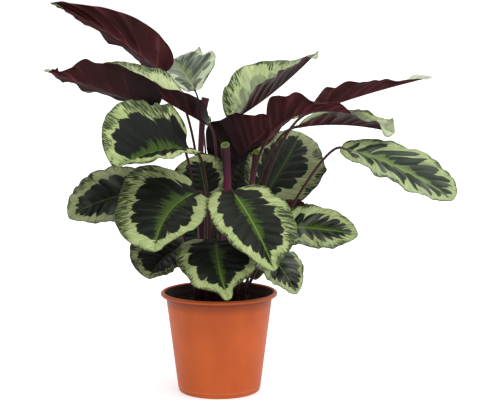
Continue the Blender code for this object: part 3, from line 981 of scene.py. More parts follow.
LEAVES = (
    Leaf("high_left", (-0.066, 0.040, 0.379), (-0.125, 0.010, 0.425), (-0.191, -0.040, 0.463),
         face=(0, 0.8, 0.6), halves=(0.032, 0.036), root=(-0.012, 0.009), fold=(40, 44),
         point=1.1, ruffles=(Ruffle(-1, 0.93, 0.05, 0.002), Ruffle(1, 0.88, 0.06, 0.003),
                             Ruffle(1, 0.08, 0.10, -0.009)),
         pleat=0.0030, veins=7.0, sweep=2.2),
    Leaf("upper_left", (-0.070, -0.060, 0.344), (-0.133, -0.105, 0.369), (-0.185, -0.150, 0.390),
         face=(0, 0.8, 0.6), halves=(0.029, 0.034), root=(-0.015, -0.006), fold=(40, 38),
         point=0.95, ruffles=(Ruffle(-1, 0.66, 0.05, 0.004), Ruffle(-1, 0.84, 0.07, -0.008),
                              Ruffle(-1, 0.88, 0.012, 0.004), Ruffle(1, 0.90, 0.05, -0.004),
                              Ruffle(1, 0.12, 0.15, -0.014)),
         pleat=0.0020, veins=6.0, curl=-120.0, curl_from=0.90, under_shade=(0.95, 0.95), worn=0.5),
    Leaf("inner_left", (-0.012, -0.018, 0.322), (-0.069, -0.014, 0.354), (-0.135, -0.010, 0.393),
         face=(0.3, 0, 1), halves=(0.030, 0.040), root=(-0.009, 0.001), fold=(58, 50),
         shoulder=0.33, lobe=0.005, end=0.10,
         ruffles=(Ruffle(-1, 0.52, 0.28, -0.014), Ruffle(1, 0.22, 0.16, -0.030),
                  Ruffle(1, 0.42, 0.12, -0.006)),
         marking=Marking.MOTTLED_SHEEN, under_shade=(0.7, 0.0)),
    Leaf("small_top", (-0.031, 0.080, 0.357), (-0.045, 0.115, 0.376), (-0.061, 0.150, 0.393),
         face=(-0.1, -0.35, 0.93), halves=(0.024, 0.040), root=(-0.007, 0.021), fold=(20, 24),
         thick=0.0012, point=0.60, lean=0.6,
         ruffles=(Ruffle(1, 0.10, 0.10, -0.014), Ruffle(1, 0.48, 0.12, 0.004, 0.003),
                  Ruffle(1, 0.64, 0.06, -0.005), Ruffle(1, 0.79, 0.03, 0.005, 0.004)),
         marking=Marking.WHITISH_SHEEN, painted_sheen=(0.2, 0.2), pleat=0.0016, veins=5.0),
    Leaf("upper_middle", (0.018, 0.030, 0.326), (0.067, 0.050, 0.358), (0.121, 0.070, 0.406),
         face=(-0.5, 0, 0.8), halves=(0.053, 0.056), root=(0.003, 0.014), fold=(57, 20),
         point=1.1,
         ruffles=(Ruffle(-1, 0.22, 0.12, -0.006), Ruffle(-1, 0.50, 0.12, 0.004),
                  Ruffle(-1, 0.86, 0.10, -0.006), Ruffle(1, 0.15, 0.10, -0.005),
                  Ruffle(1, 0.80, 0.08, 0.004)),
         marking=Marking.PALE_SHEEN, painted_sheen=(0.15, 0.0), breadth=(1.15, 1.0), curl=100.0, worn=0.45),
    Leaf("upper_right", (0.053, -0.040, 0.300), (0.088, -0.080, 0.336), (0.149, -0.110, 0.341),
         face=(0, 0.8, 0.6), halves=(0.034, 0.031), root=(0.012, -0.006), fold=(53, 37),
         shoulder=1.30, point=0.95,
         ruffles=(Ruffle(-1, 0.24, 0.12, 0.008), Ruffle(-1, 0.62, 0.20, 0.006), Ruffle(1, 0.14, 0.08, -0.007),
                  Ruffle(1, 0.35, 0.07, 0.005), Ruffle(1, 0.50, 0.05, -0.006),
                  Ruffle(1, 0.73, 0.14, -0.020))),
    Leaf("inner_right", (0.095, 0.030, 0.316), (0.153, 0.020, 0.319), (0.208, 0.000, 0.311),
         face=(0, 0, 1), halves=(0.036, 0.036), root=(0.015, 0.010), fold=(27, 24), lean=0.6,
         point=0.60, ruffles=(Ruffle(-1, 0.94, 0.05, 0.002), Ruffle(1, 0.94, 0.05, 0.002),
                              Ruffle(1, 0.20, 0.14, -0.008), Ruffle(1, 0.45, 0.08, 0.002),
                              Ruffle(1, 0.72, 0.10, -0.006), Ruffle(-1, 0.72, 0.06, -0.004)),
         marking=Marking.PALE_SHEEN, painted_sheen=(0.2, 0.2), curl=60.0, under_shade=(0.3, 0.0), worn=0.35),
    Leaf("centre", (0.009, 0.005, 0.264), (0.038, 0.000, 0.297), (0.067, -0.010, 0.325),
         face=(0, 1, 0), halves=(0.030, 0.045), root=(0.005, -0.001), fold=(70, 0),
         shoulder=0.40, point=0.50,
         ruffles=(Ruffle(-1, 0.15, 0.13, -0.014), Ruffle(1, 0.30, 0.15, 0.008),
                  Ruffle(1, 0.52, 0.14, -0.003), Ruffle(1, 0.82, 0.12, -0.011)), under_shade=(1.3, 1.3)),
    Leaf("high_right", (0.106, -0.010, 0.335), (0.179, 0.030, 0.356), (0.260, 0.070, 0.374),
         face=(-0.2, 0.2, 0.95), halves=(0.036, 0.026), root=(0.019, 0.003), fold=(8, 40),
         shoulder=0.30, point=1.0, lobe=0.016, lean=0.6, curl=90.0, curl_from=0.78, worn=0.9,
         ruffles=(Ruffle(1, 0.10, 0.09, 0.008), Ruffle(1, 0.24, 0.04, -0.003),
                  Ruffle(1, 0.50, 0.10, -0.004), Ruffle(1, 0.60, 0.04, -0.004),
                  Ruffle(1, 0.77, 0.11, -0.009))),
    Leaf("far_right", (0.145, 0.000, 0.293), (0.209, -0.020, 0.272), (0.272, -0.050, 0.237),
         face=(0.3, -0.55, 0.8), halves=(0.038, 0.042), root=(0.026, -0.003), fold=(12, 12),
         lean=0.8, end=0.10, shoulder=0.70, point=0.50,
         ruffles=(Ruffle(-1, 0.40, 0.06, -0.003), Ruffle(1, 0.45, 0.08, 0.002), Ruffle(1, 0.75, 0.10, 0.004),
                  Ruffle(1, 0.91, 0.05, 0.005)),
         marking=Marking.FINGERS, pleat=0.0018, painted_sheen=(0.10, 0.22), sweep=1.5),
    Leaf("back_right", (0.052, 0.040, 0.226), (0.080, 0.075, 0.268), (0.101, 0.120, 0.302),
         face=(0.1, -0.8, 0.6), halves=(0.042, 0.050), root=(0.012, 0.022),
         ruffles=(Ruffle(1, 0.56, 0.04, 0.004),), marking=Marking.SHADED,
         feather=0.6, breadth=(0.9, 1.4)),
    Leaf("left", (-0.031, -0.070, 0.298), (-0.072, -0.115, 0.298), (-0.110, -0.150, 0.283),
         face=(0, -0.67, 0.74), halves=(0.033, 0.064), root=(-0.010, -0.015), fold=(26, 30),
         point=0.48, lobe=0.028,
         ruffles=(Ruffle(1, 0.31, 0.03, -0.008), Ruffle(1, 0.10, 0.08, 0.016),
                  Ruffle(-1, 0.88, 0.13, -0.019)),
         breadth=(0.7, 1.0), edging=(0.4, 2.0), feather=0.75, marking=Marking.DEEP),
    Leaf("front_left", (-0.022, -0.060, 0.248), (-0.055, -0.095, 0.228), (-0.068, -0.150, 0.192),
         face=(-0.2, -0.65, 0.73), halves=(0.045, 0.062), root=(-0.015, -0.022), fold=(10, 22),
         point=0.50, lobe=0.006, end=0.10,
         ruffles=(Ruffle(-1, 0.70, 0.17, 0.010), Ruffle(-1, 0.96, 0.04, -0.006),
                  Ruffle(1, 0.30, 0.14, 0.006), Ruffle(1, 0.62, 0.16, -0.006)),
         breadth=(0.9, 0.95), edging=(0.4, 1.1)),
    Leaf("far_left", (-0.074, -0.030, 0.244), (-0.128, -0.050, 0.238), (-0.171, -0.065, 0.218),
         face=(-0.15, -0.8, 0.6), halves=(0.038, 0.037), root=(-0.025, -0.007), lobe=0.006,
         lean=0.6, marking=Marking.SHADED, pleat=0.0018, scallop=0.06, feather=0.3,
         breadth=(0.95, 1.1), painted_sheen=(0.08, 0.08)),
    Leaf("front", (0.016, -0.065, 0.250), (0.041, -0.115, 0.218), (0.064, -0.143, 0.170),
         face=(0.1, -0.65, 0.75), halves=(0.045, 0.044), root=(0.008, -0.024), lobe=0.006,
         end=0.10, ruffles=(Ruffle(-1, 0.28, 0.10, -0.006), Ruffle(-1, 0.74, 0.12, 0.005),
                            Ruffle(-1, 0.94, 0.04, -0.005), Ruffle(1, 0.80, 0.12, -0.005)),
         breadth=(1.0, 0.72), edging=(1.7, 0.35), feather=0.8),
    Leaf("back_left", (-0.0139, -0.014, 0.2315), (-0.019, -0.014, 0.2605), (-0.0247, -0.014, 0.2862),
         face=(-0.15, -0.8, 0.6), halves=(0.036, 0.031), root=(-0.004, -0.005), point=0.50,
         marking=Marking.SHADED, feather=0.2),
    Leaf("low_front", (-0.002, -0.060, 0.192), (0.002, -0.105, 0.169), (0.013, -0.130, 0.135),
         face=(0, -0.6, 0.8), halves=(0.046, 0.046), root=(-0.003, -0.032), end=0.12,
         ruffles=(Ruffle(-1, 0.87, 0.09, -0.014), Ruffle(1, 0.66, 0.06, -0.003),
                  Ruffle(1, 0.89, 0.08, -0.011)),
         breadth=(0.78, 0.78), edging=(0.5, 0.6), feather=0.75),
    Leaf("low_left", (-0.039, -0.040, 0.183), (-0.064, -0.060, 0.169), (-0.079, -0.075, 0.149),
         face=(-0.2, -0.5, 0.8), halves=(0.035, 0.046), root=(-0.027, -0.023), lobe=0.006,
         marking=Marking.SHADED, feather=0.1, breadth=(0.5, 0.8)),
    Leaf("right", (0.076, -0.020, 0.202), (0.119, -0.035, 0.201), (0.163, -0.040, 0.195),
         face=(0, -0.8, 0.6), halves=(0.029, 0.030), root=(0.028, -0.013), pleat=0.0014,
         breadth=(1.0, 0.85), edging=(0.6, 0.8), painted_sheen=(0.15, 0.14), feather=0.8, marking=Marking.SHEEN_STREAKED,
         sweep=1.7,
         ruffles=(Ruffle(-1, 0.50, 0.20, -0.003), Ruffle(1, 0.38, 0.12, -0.005))),
    Leaf("low_right", (0.051, -0.040, 0.179), (0.071, -0.070, 0.163), (0.090, -0.090, 0.134),
         face=(0.3, -0.6, 0.7), halves=(0.027, 0.033), root=(0.020, -0.024), pleat=0.0014,
         ruffles=(Ruffle(-1, 0.25, 0.15, -0.006),), feather=0.15, breadth=(0.45, 0.6),
         edging=(0.5, 0.4), painted_sheen=(0.22, 0.30), marking=Marking.SHEEN_STREAKED),
    Leaf("back_low", (0.068, 0.024, 0.213), (0.090, 0.030, 0.215), (0.113, 0.032, 0.213),
         face=(0, 0.6, 0.8), halves=(0.014, 0.018), root=(0.024, 0.020)),
    Leaf("rear_left", (-0.010, 0.058, 0.158), (-0.030, 0.070, 0.180), (-0.052, 0.088, 0.200),
         face=(0, -0.8, 0.6), halves=(0.030, 0.032), root=(-0.005, 0.031), marking=Marking.DEEP_SHADE),
    Leaf("rear_right", (0.026, 0.060, 0.150), (0.014, 0.090, 0.185), (0.002, 0.115, 0.215),
         face=(0.1, 0.8, 0.5), halves=(0.040, 0.040), root=(0.006, 0.033), marking=Marking.DEEP_SHADE),
    Leaf("rear_low", (0.030, 0.048, 0.172), (0.039, 0.050, 0.149), (0.044, 0.046, 0.126),
         face=(0, -0.85, 0.5), halves=(0.020, 0.019), root=(0.016, 0.030), marking=Marking.DEEP_SHADE),
    Leaf("rear_high", (0.016, 0.085, 0.214), (0.025, 0.108, 0.247), (0.034, 0.130, 0.275),
         face=(0, -0.8, 0.6), halves=(0.032, 0.028), root=(0.001, 0.024), marking=Marking.DEEP_SHADE),
)


def rib_line(leaf: Leaf, share: np.ndarray) -> tuple[np.ndarray, np.ndarray]:
    """Points and directions on a blade's rib.

    Args:
        leaf: The leaf.
        share: Where along the rib, 0 at the foot to 1 at the tip.

    Returns:
        The points, and the directions towards the tip.
    """
    base, middle, tip = (np.array(p, float) for p in (leaf.base, leaf.middle, leaf.tip))
    bow = middle - (base + tip) / 2
    v = np.asarray(share, float)[..., None]
    points = base + (tip - base) * v + bow * (4 * v * (1 - v))
    return points, unit((tip - base) + bow * (4 * (1 - 2 * v)))


def facing(leaf: Leaf, along: np.ndarray) -> np.ndarray:
    """Where the upper side looks, square to the rib's directions."""
    face = np.array(leaf.face, float)
    return unit(face - along * (along @ face)[..., None])


@dataclass
class Blade:
    """A leaf's blade: a pleated sheet with a sunken rib above and a raised one below.

    Its points lie where side veins and lengthwise lines cross, so a vein is a row of the mesh. q is
    a vein's place along the rib and t a place along the vein, -1 and 1 at the margins. v is how far
    along the blade a point lies. ripples are the weight and the number of the margin's fine waves.
    """
    leaf: Leaf
    seed: int
    rows: int = 132
    columns: int = 44
    thickness: float = 0.0005
    rib_crowding: float = 1.25
    vein_sweep: float = 0.9
    vein_sweep_power: float = 1.2
    vein_stagger: float = 0.37
    vein_bend: float = 0.012
    vein_bends: int = 3
    lobe_place: float = 0.06
    fold_place: float = 1 / 6
    foot_spare: float = 0.0009
    tip_half_width: float = 0.0004
    tip_room: float = 0.03
    side_shift: float = 1.3
    scallop_mean: float = 0.6
    crease: float = 0.7
    rib_clear: float = 5.0
    rim_fade: float = 0.35
    arch: float = 0.0022
    ruffle: float = 0.0009
    ripples: tuple[Pair, ...] = ((0.6, 6.3), (0.4, 10.7))
    groove: float = 0.0005
    keel: float = 0.0011
    keel_width: float = 0.0016
    keel_fade: float = 0.8
    notch: float = 0.05
    least: float = 1e-12
    chart_size: float = 0.47
    chart_gap: float = 0.01
    strip_place: float = 0.60

    def lattice(self) -> tuple[np.ndarray, np.ndarray]:
        """Lay out the veins, and the places along them.

        Returns:
            q and t for every point.
        """
        q = (1 - np.cos(np.pi * np.arange(self.rows + 1) / self.rows)) / 2
        even = np.linspace(-1, 1, self.columns + 1)
        t = np.sign(even) * np.abs(even) ** self.rib_crowding
        return np.meshgrid(q, t, indexing="ij")

    def width(self, v: np.ndarray) -> np.ndarray:
        """How wide the blade is along its length.

        Args:
            v: Where along the blade.

        Returns:
            The width, 1 at the widest place.
        """
        shoulder, point = self.leaf.shoulder, self.leaf.point
        widest = shoulder / (shoulder + point)
        return v ** shoulder * (1 - v) ** point / (widest ** shoulder * (1 - widest) ** point)

    def lift(self, q: np.ndarray, t: np.ndarray, v: np.ndarray) -> np.ndarray:
        """How far each point rises from its flat half: waves, pleats, arch and ruffles.

        Args:
            q: The points' veins.
            t: Their places along the veins.
            v: Their places along the blade.

        Returns:
            The rise, in metres.
        """
        leaf, reach, right = self.leaf, np.abs(t), t > 0
        wave = leaf.wave * reach ** 2 * np.sin(2 * np.pi * leaf.waves * v + self.side_shift * right)
        phase = np.random.default_rng(self.seed).uniform(0, 2 * np.pi, 6)
        window = np.minimum(1, self.rib_clear * reach) * (1 - self.rim_fade * reach)
        pleat = leaf.pleat * (2 * self.pleats(q, right) - 1) * window
        arch = self.arch * 4 * reach * (1 - reach)
        ruffle = np.zeros_like(v)
        for (share, count), (start, shift) in zip(self.ripples, (phase[2:4], phase[4:6])):
            ruffle = ruffle + share * np.sin(2 * np.pi * count * v + start + shift * right)
        ends = np.sqrt(np.maximum(0, 4 * v * (1 - v)))
        rise = ends * (wave + pleat + arch + self.ruffle * reach ** 3 * ruffle)
        for change in leaf.ruffles:
            rise = rise + reach ** 3 * change.lift * self.reached(change, t, v)
        return rise

    def pleats(self, q: np.ndarray, right: np.ndarray) -> np.ndarray:
        """Bulges between side veins.

        Args:
            q: The points' veins.
            right: Whether they lie on the right half.

        Returns:
            0 on a vein, where two bulges meet in a crease, and 1 between two veins.
        """
        shift = np.where(right, 0.5, 0.0) + self.vein_stagger * self.seed
        bent = q + self.vein_bend * np.sin(2 * np.pi * self.vein_bends * q + self.seed + 2 * right)
        return np.abs(np.sin(np.pi * (self.leaf.veins * bent + shift))) ** self.crease

    def reached(self, change: Ruffle, t: np.ndarray, v: np.ndarray) -> np.ndarray:
        """How strongly a change of the margin acts at each point, 0 to 1."""
        near = np.exp(-((v - change.at) / change.width) ** 2)
        return near * (t * change.side > 0) * np.minimum(1, (1 - v) / self.tip_room)

    def half_width(self, q: np.ndarray, t: np.ndarray, v: np.ndarray) -> np.ndarray:
        """How far each point lies from the rib.

        Args:
            q: The points' veins.
            t: Their places along the veins.
            v: Their places along the blade.

        Returns:
            The distances, in metres.
        """
        leaf = self.leaf
        foot = leaf.thick + self.foot_spare
        half = np.where(t > 0, leaf.halves[1], leaf.halves[0])
        bulge = 1 + leaf.scallop * (self.pleats(q, t > 0) - self.scallop_mean) * t * t
        reach = np.abs(t) * (foot + (self.tip_half_width - foot) * v + half * bulge * self.width(v))
        for change in leaf.ruffles:
            reach = reach + t * t * change.out * self.reached(change, t, v)
        return reach

    def turned(self, v: np.ndarray, along: np.ndarray) -> tuple[np.ndarray, np.ndarray]:
        """Turn the blade's tip about the rib.

        Args:
            v: The points' places along the blade.
            along: The rib's directions there.

        Returns:
            Where the upper side looks, and the way across to the right.
        """
        leaf = self.leaf
        face = facing(leaf, along)
        share = np.clip((v - leaf.curl_from) / (1 - leaf.curl_from), 0, 1)
        turn = np.radians(leaf.curl) * (share * share * (3 - 2 * share))[..., None]
        across = np.cross(along, face)
        return face * np.cos(turn) + across * np.sin(turn), across * np.cos(turn) - face * np.sin(turn)

    def surface(self) -> dict[str, np.ndarray]:
        """Work out the sheet.

        Returns:
            By name, for each point of the lattice: its places q, t and v, its place on the middle
            sheet, the way that the upper side looks there, its distance from the rib, and its place
            on the blade laid flat.
        """
        leaf = self.leaf
        q, t = self.lattice()
        v = 1 - (1 - q) ** (1 + leaf.sweep * self.vein_sweep * np.abs(t) ** self.vein_sweep_power)
        place, along = rib_line(leaf, v)
        face, across = self.turned(v, along)
        across = np.where((t > 0)[..., None], across, -across)
        reach = self.half_width(q, t, v)
        rise = np.radians(np.where(t > 0, leaf.fold[1], leaf.fold[0])) * np.minimum(1, v / self.fold_place)
        rise = np.where(t == 0, 0.0, rise)[..., None]
        out = across * np.cos(rise) + face * np.sin(rise)
        up = face * np.cos(rise) - across * np.sin(rise)
        back = leaf.lobe * t * t * (v / self.lobe_place) * np.exp(1 - v / self.lobe_place)
        lift = self.lift(q, t, v)
        sheet = place + out * reach[..., None] + up * lift[..., None] - along * back[..., None]
        length = np.linalg.norm(np.array(leaf.tip) - np.array(leaf.base))
        flat = np.stack((np.sign(t) * reach, v * length - back), axis=-1)
        return {"q": q, "t": t, "v": v, "sheet": sheet, "up": up, "reach": reach, "flat": flat}

    def depth(self, found: dict[str, np.ndarray]) -> np.ndarray:
        """How far each point lies from the margin.

        Args:
            found: What surface found.

        Returns:
            The distances, as shares of half the blade's width.
        """
        flat = found["flat"]
        margin = []
        for column in (0, -1):
            kept = found["v"][:, column] > self.notch
            margin.append(flat[kept, column])
        line = np.concatenate((margin[0], margin[1][::-1]))
        start, step = line[:-1], np.diff(line, axis=0)
        gap = flat.reshape(-1, 1, 2) - start
        share = np.clip((gap * step).sum(-1) / np.maximum((step * step).sum(-1), self.least), 0, 1)
        near = np.linalg.norm(gap - share[..., None] * step, axis=-1).min(axis=1)
        return near / (sum(self.leaf.halves) / 2)

    def margin_ring(self) -> list[tuple[int, int]]:
        """Walk round the margin.

        Returns:
            The numbers of each two neighbouring points there.
        """
        rows, columns = self.rows + 1, self.columns + 1
        around = list(range(columns))
        around += [i * columns + columns - 1 for i in range(1, rows)]
        around += [(rows - 1) * columns + j for j in range(columns - 2, -1, -1)]
        around += [i * columns for i in range(rows - 2, 0, -1)]
        return list(zip(around, around[1:] + around[:1]))

    def mesh(self) -> bpy.types.Mesh:
        """Make the blade's mesh: upper side, underside and rim, with what the finishes read.

        Returns:
            The mesh. Slot 0 is its upper side, and slot 1 the rest.
        """
        found = self.surface()
        rows, columns = self.rows + 1, self.columns + 1
        line = np.exp(-(found["reach"] / self.keel_width) ** 2) * (1 - self.keel_fade * found["v"])
        half = self.thickness / 2
        top = found["sheet"] + found["up"] * (half - self.groove * line)[..., None]
        low = found["sheet"] - found["up"] * (half + self.keel * line)[..., None]
        points = np.concatenate((top.reshape(-1, 3), low.reshape(-1, 3)))
        count = rows * columns
        faces = grid_faces(rows, columns, 0, False) + grid_faces(rows, columns, count, True)
        ring = self.margin_ring()
        faces += [(b, a, a + count, b + count) for a, b in ring]
        mesh = mesh_from(f"blade_{self.leaf.name}_fine", points, faces)
        self.store(mesh, found)
        self.unfold(mesh, found["flat"], len(ring))
        quads = self.rows * self.columns
        mesh.polygons.foreach_set("material_index", [0] * quads + [1] * (quads + len(ring)))
        return mesh

    def store(self, mesh: bpy.types.Mesh, found: dict[str, np.ndarray]) -> None:
        """Store what the finishes read, the same on both sides.

        Args:
            mesh: The blade's mesh.
            found: What surface found.
        """
        leaf, right = self.leaf, found["t"] > 0
        marking = np.stack((found["q"], found["t"], np.full_like(found["q"], self.seed)), axis=-1)
        set_numbers(mesh, "marking", np.tile(marking.reshape(-1, 3), (2, 1)))
        numbers = {"depth": self.depth(found), "rib": found["reach"] * MM_PER_M,
                   "ridge": self.pleats(found["q"], right)}
        # bloom carries each half's painted sheen, and dusk its painted shade.
        for name in ("painted_sheen", "under_shade", "breadth", "edging"):
            left_half, right_half = getattr(leaf, name)
            numbers[name] = np.where(right, right_half, left_half)
        for name in ("feather", "worn"):
            numbers[name] = np.full_like(found["q"], getattr(leaf, name))
        for name, values in numbers.items():
            set_numbers(mesh, name, np.tile(values.ravel(), 2))

    def unfold(self, mesh: bpy.types.Mesh, flat: np.ndarray, rim: int) -> None:
        """Lay the two sides flat beside each other, and the rim in a strip above them.

        Args:
            mesh: The blade's mesh.
            flat: The points of one side, laid flat.
            rim: How many faces the rim has.
        """
        low = flat.reshape(-1, 2).min(axis=0)
        size = (flat.reshape(-1, 2).max(axis=0) - low).max()
        chart = (flat.reshape(-1, 2) - low) / size * self.chart_size
        gap = self.chart_gap
        sides = np.concatenate((chart + (gap, gap), chart + (0.5 + gap, gap)))
        quads = 2 * self.rows * self.columns
        loops = np.zeros(len(mesh.loops), np.int32)
        mesh.loops.foreach_get("vertex_index", loops)
        places = sides[loops]
        strip = 1 - 2 * gap
        bottom, top = self.strip_place, self.strip_place + gap
        for k in range(rim):
            first = 4 * (quads + k)
            left, right = gap + strip * k / rim, gap + strip * (k + 1) / rim
            places[first:first + 4] = ((right, bottom), (left, bottom), (left, top), (right, top))
        layer = mesh.uv_layers.new(name="OFBake")
        layer.data.foreach_set("uv", places.astype(np.float32).ravel())

    def build(self, finishes: dict[Enum | str, bpy.types.Material]) -> bpy.types.Object:
        """Make and dress the blade.

        Args:
            finishes: The finishes by marking, and the underside's.

        Returns:
            The blade.
        """
        mesh = self.mesh()
        mesh.materials.append(finishes[self.leaf.marking])
        mesh.materials.append(finishes["under"])
        return add_piece(mesh.name, mesh, f"blade_{self.leaf.name}")


@dataclass
class Tube:
    """A round, tapered stem along a route, whose top may be cut on a slant."""
    name: str
    node: str
    slot: str
    route: np.ndarray
    radii: np.ndarray
    seed: int
    sides: int = 14
    slant: float = 0.0
    slant_reach: float = 0.012
    sharp: float = 50.0
    side_hint: Point = (0.0, 1.0, 0.1)

    def rings(self) -> np.ndarray:
        """Draw rings round the route, turned as little as possible from one to the next.

        Returns:
            The rings' points.
        """
        along = unit(np.gradient(self.route, axis=0))
        side = unit(np.cross(along[0], np.array(self.side_hint)))
        turns = np.linspace(0, 2 * np.pi, self.sides, endpoint=False)
        rings = []
        for place, way, radius in zip(self.route, along, self.radii):
            side = unit(side - way * (side @ way))
            other = np.cross(way, side)
            circle = np.outer(np.cos(turns), side) + np.outer(np.sin(turns), other)
            rings.append(place + circle * radius)
        rings = np.array(rings)
        if self.slant:
            share = np.clip(1 - (self.route[-1, 2] - self.route[:, 2]) / self.slant_reach, 0, 1)
            off = rings[:, :, 1] - self.route[:, None, 1]
            rings[:, :, 2] += off * self.slant * share[:, None]
        return rings

    def build(self, skin: bpy.types.Material, cut: bpy.types.Material) -> bpy.types.Object:
        """Make and dress the stem.

        Args:
            skin: The finish of its skin.
            cut: The finish of its flat ends.

        Returns:
            The stem.
        """
        rings = self.rings()
        count = len(rings)
        points = np.concatenate((rings.reshape(-1, 3), self.route[:1], self.route[-1:]))
        mesh = mesh_from(self.name, points, capped_faces(count, self.sides, False), self.sharp)
        turn = np.arange(self.sides) / self.sides * 2 * np.pi
        marking = np.zeros((len(points), 3))
        marking[:-2, 0] = np.tile(np.cos(turn), count)
        marking[:-2, 1] = np.repeat(np.linspace(0, 1, count), self.sides)
        marking[:-2, 2] = np.tile(np.sin(turn), count) + self.seed
        marking[-1, 1] = 1.0
        set_numbers(mesh, "marking", marking)
        radius = np.ones(len(points))
        radius[-2:] = 0.0
        set_numbers(mesh, "radius", radius)
        mesh.materials.append(skin)
        mesh.materials.append(cut)
        walls = (count - 1) * self.sides
        mesh.polygons.foreach_set("material_index", [0] * walls + [1] * (2 * self.sides))
        return add_piece(self.name, mesh, self.node)


@dataclass
class Ground:
    """What the stems share at the soil."""
    soil_top: float = 0.1110
    least_rise: float = 0.02
    hole_depth: float = 0.010
    gap: float = 0.0006

    def start(self, root: Pair, toward: Point, lean: float, straight: float) -> tuple[np.ndarray, ...]:
        """Work out how a stem leaves the soil.

        Args:
            root: Where it does.
            toward: The place that it makes for.
            lean: How far it leans that way.
            straight: The length of its first, straight stretch.

        Returns:
            Its lowest point, down in its hole, the end of the straight stretch, and its direction.
        """
        foot = np.array((root[0], root[1], self.soil_top))
        away = np.array((toward[0] - root[0], toward[1] - root[1], 0.0))
        rise = max(toward[2] - self.soil_top, self.least_rise)
        direction = unit(np.array((0.0, 0.0, 1.0)) + away * (lean / rise))
        return foot - direction * (self.hole_depth - self.gap), foot + direction * straight, direction


@dataclass
class Stalk:
    """A leaf's stalk: straight out of the soil, bent to the blade, and on under its rib.

    Radii and sinks are shares of the stalk's own radius, and runner is the share of the rib that
    the stalk runs on under.
    """
    leaf: Leaf
    ground: Ground
    seed: int
    steps: int = 56
    straight: float = 0.004
    crowding: float = 1.5
    runner_from: float = 0.012
    runner: float = 0.10
    runner_steps: int = 8
    runner_radii: Pair = (0.92, 0.25)
    runner_sinks: Pair = (0.2, 0.55)
    slimness: float = 0.97
    foot_swell: float = 0.25
    foot_swell_power: float = 6
    knee_swell: float = 0.22
    knee_place: float = 0.97
    knee_width: float = 0.03

    def route(self) -> np.ndarray:
        """Work out the stalk's middle line.

        Returns:
            Its points, from the hole to under the blade.
        """
        leaf = self.leaf
        root, low, direction = self.ground.start(leaf.root, leaf.base, leaf.lean, self.straight)
        base, along = rib_line(leaf, np.array(0.0))
        end = base - along * self.ground.gap
        reach = np.linalg.norm(end - low)
        handles = (low, low + direction * (reach * leaf.start), end - along * (reach * leaf.end), end)
        bend = cubic(handles, 1 - (1 - np.linspace(0, 1, self.steps)) ** self.crowding)
        under, ways = rib_line(leaf, np.linspace(self.runner_from, self.runner, self.runner_steps))
        sinks = leaf.thick * np.linspace(*self.runner_sinks, self.runner_steps)
        under = under - facing(leaf, ways) * sinks[:, None]
        return np.concatenate((root[None], bend, under))

    def build(self, skin: bpy.types.Material) -> bpy.types.Object:
        """Make and dress the stalk.

        Args:
            skin: The finish of its skin.

        Returns:
            The stalk.
        """
        name = f"stalk_{self.leaf.name}"
        u = np.linspace(0, 1, self.steps)
        swell = 1 + self.foot_swell * (1 - u) ** self.foot_swell_power
        swell = swell + self.knee_swell * np.exp(-((u - self.knee_place) / self.knee_width) ** 2)
        taper = np.linspace(*self.runner_radii, self.runner_steps)
        radii = self.leaf.thick * np.concatenate((swell[:1], self.slimness * swell, taper))
        return Tube(f"{name}_fine", name, "stalk", self.route(), radii, self.seed).build(skin, skin)


@dataclass
class CutStem:
    """A stem that was cut off: where it leaves the soil, its bend, its cut top and its radius.

    lip is the rolled edge of the cut: how far each of its rings lies past the end, in metres, and
    its share of the end's radius.
    """
    name: str
    root: Pair
    middle: Point
    top: Point
    radius: float
    skin: Skin
    seed: int
    slant: float = 0.60
    sides: int = 28
    steps: int = 48
    lean: float = 0.5
    straight: float = 0.006
    start: float = 0.05
    end: float = 0.8
    slimness: float = 0.80
    foot_swell: float = 0.12
    foot_swell_power: float = 2
    flare: float = 0.34
    flare_power: float = 8
    lip: tuple[Pair, ...] = ((0.0002, 0.95), (0.0003, 0.88))

    def build(self, ground: Ground, skin: bpy.types.Material, cut: bpy.types.Material) -> bpy.types.Object:
        """Make and dress the stem, with its edge rolled over at the cut.

        Args:
            ground: What the stems share at the soil.
            skin: The finish of its skin.
            cut: The finish of its cut.

        Returns:
            The stem.
        """
        root, low, direction = ground.start(self.root, self.middle, self.lean, self.straight)
        middle, top = np.array(self.middle), np.array(self.top)
        handles = (low, low + direction * self.start, middle - (top - middle) * self.end, top)
        u = np.linspace(0, 1, self.steps)
        bend = cubic(handles, u)
        way = unit(bend[-1] - bend[-2])
        route = np.concatenate((root[None], bend, [bend[-1] + way * past for past, _ in self.lip]))
        swell = self.slimness + self.foot_swell * (1 - u) ** self.foot_swell_power
        swell = swell + self.flare * u ** self.flare_power
        lip = [swell[-1] * share for _, share in self.lip]
        radii = self.radius * np.concatenate((swell[:1], swell, lip))
        return Tube(f"{self.name}_fine", self.name, "cut_stem", route, radii, self.seed, self.sides,
                    self.slant).build(skin, cut)


CUT_STEMS = (
    CutStem("cut_stem_thick", (0.000, -0.013), (0.013, -0.030, 0.246), (0.008, -0.030, 0.299), 0.0050,
            Skin.PURPLE, 41),
    CutStem("cut_stem_thin", (0.011, 0.003), (0.039, -0.010, 0.248), (0.045, -0.010, 0.289), 0.0039,
            Skin.PURPLE, 42),
    CutStem("cut_stem_tall", (-0.021, 0.002), (-0.0215, 0.003, 0.325), (-0.0155, 0.002, 0.352), 0.0042,
            Skin.TALL, 43, slant=0.0),
)


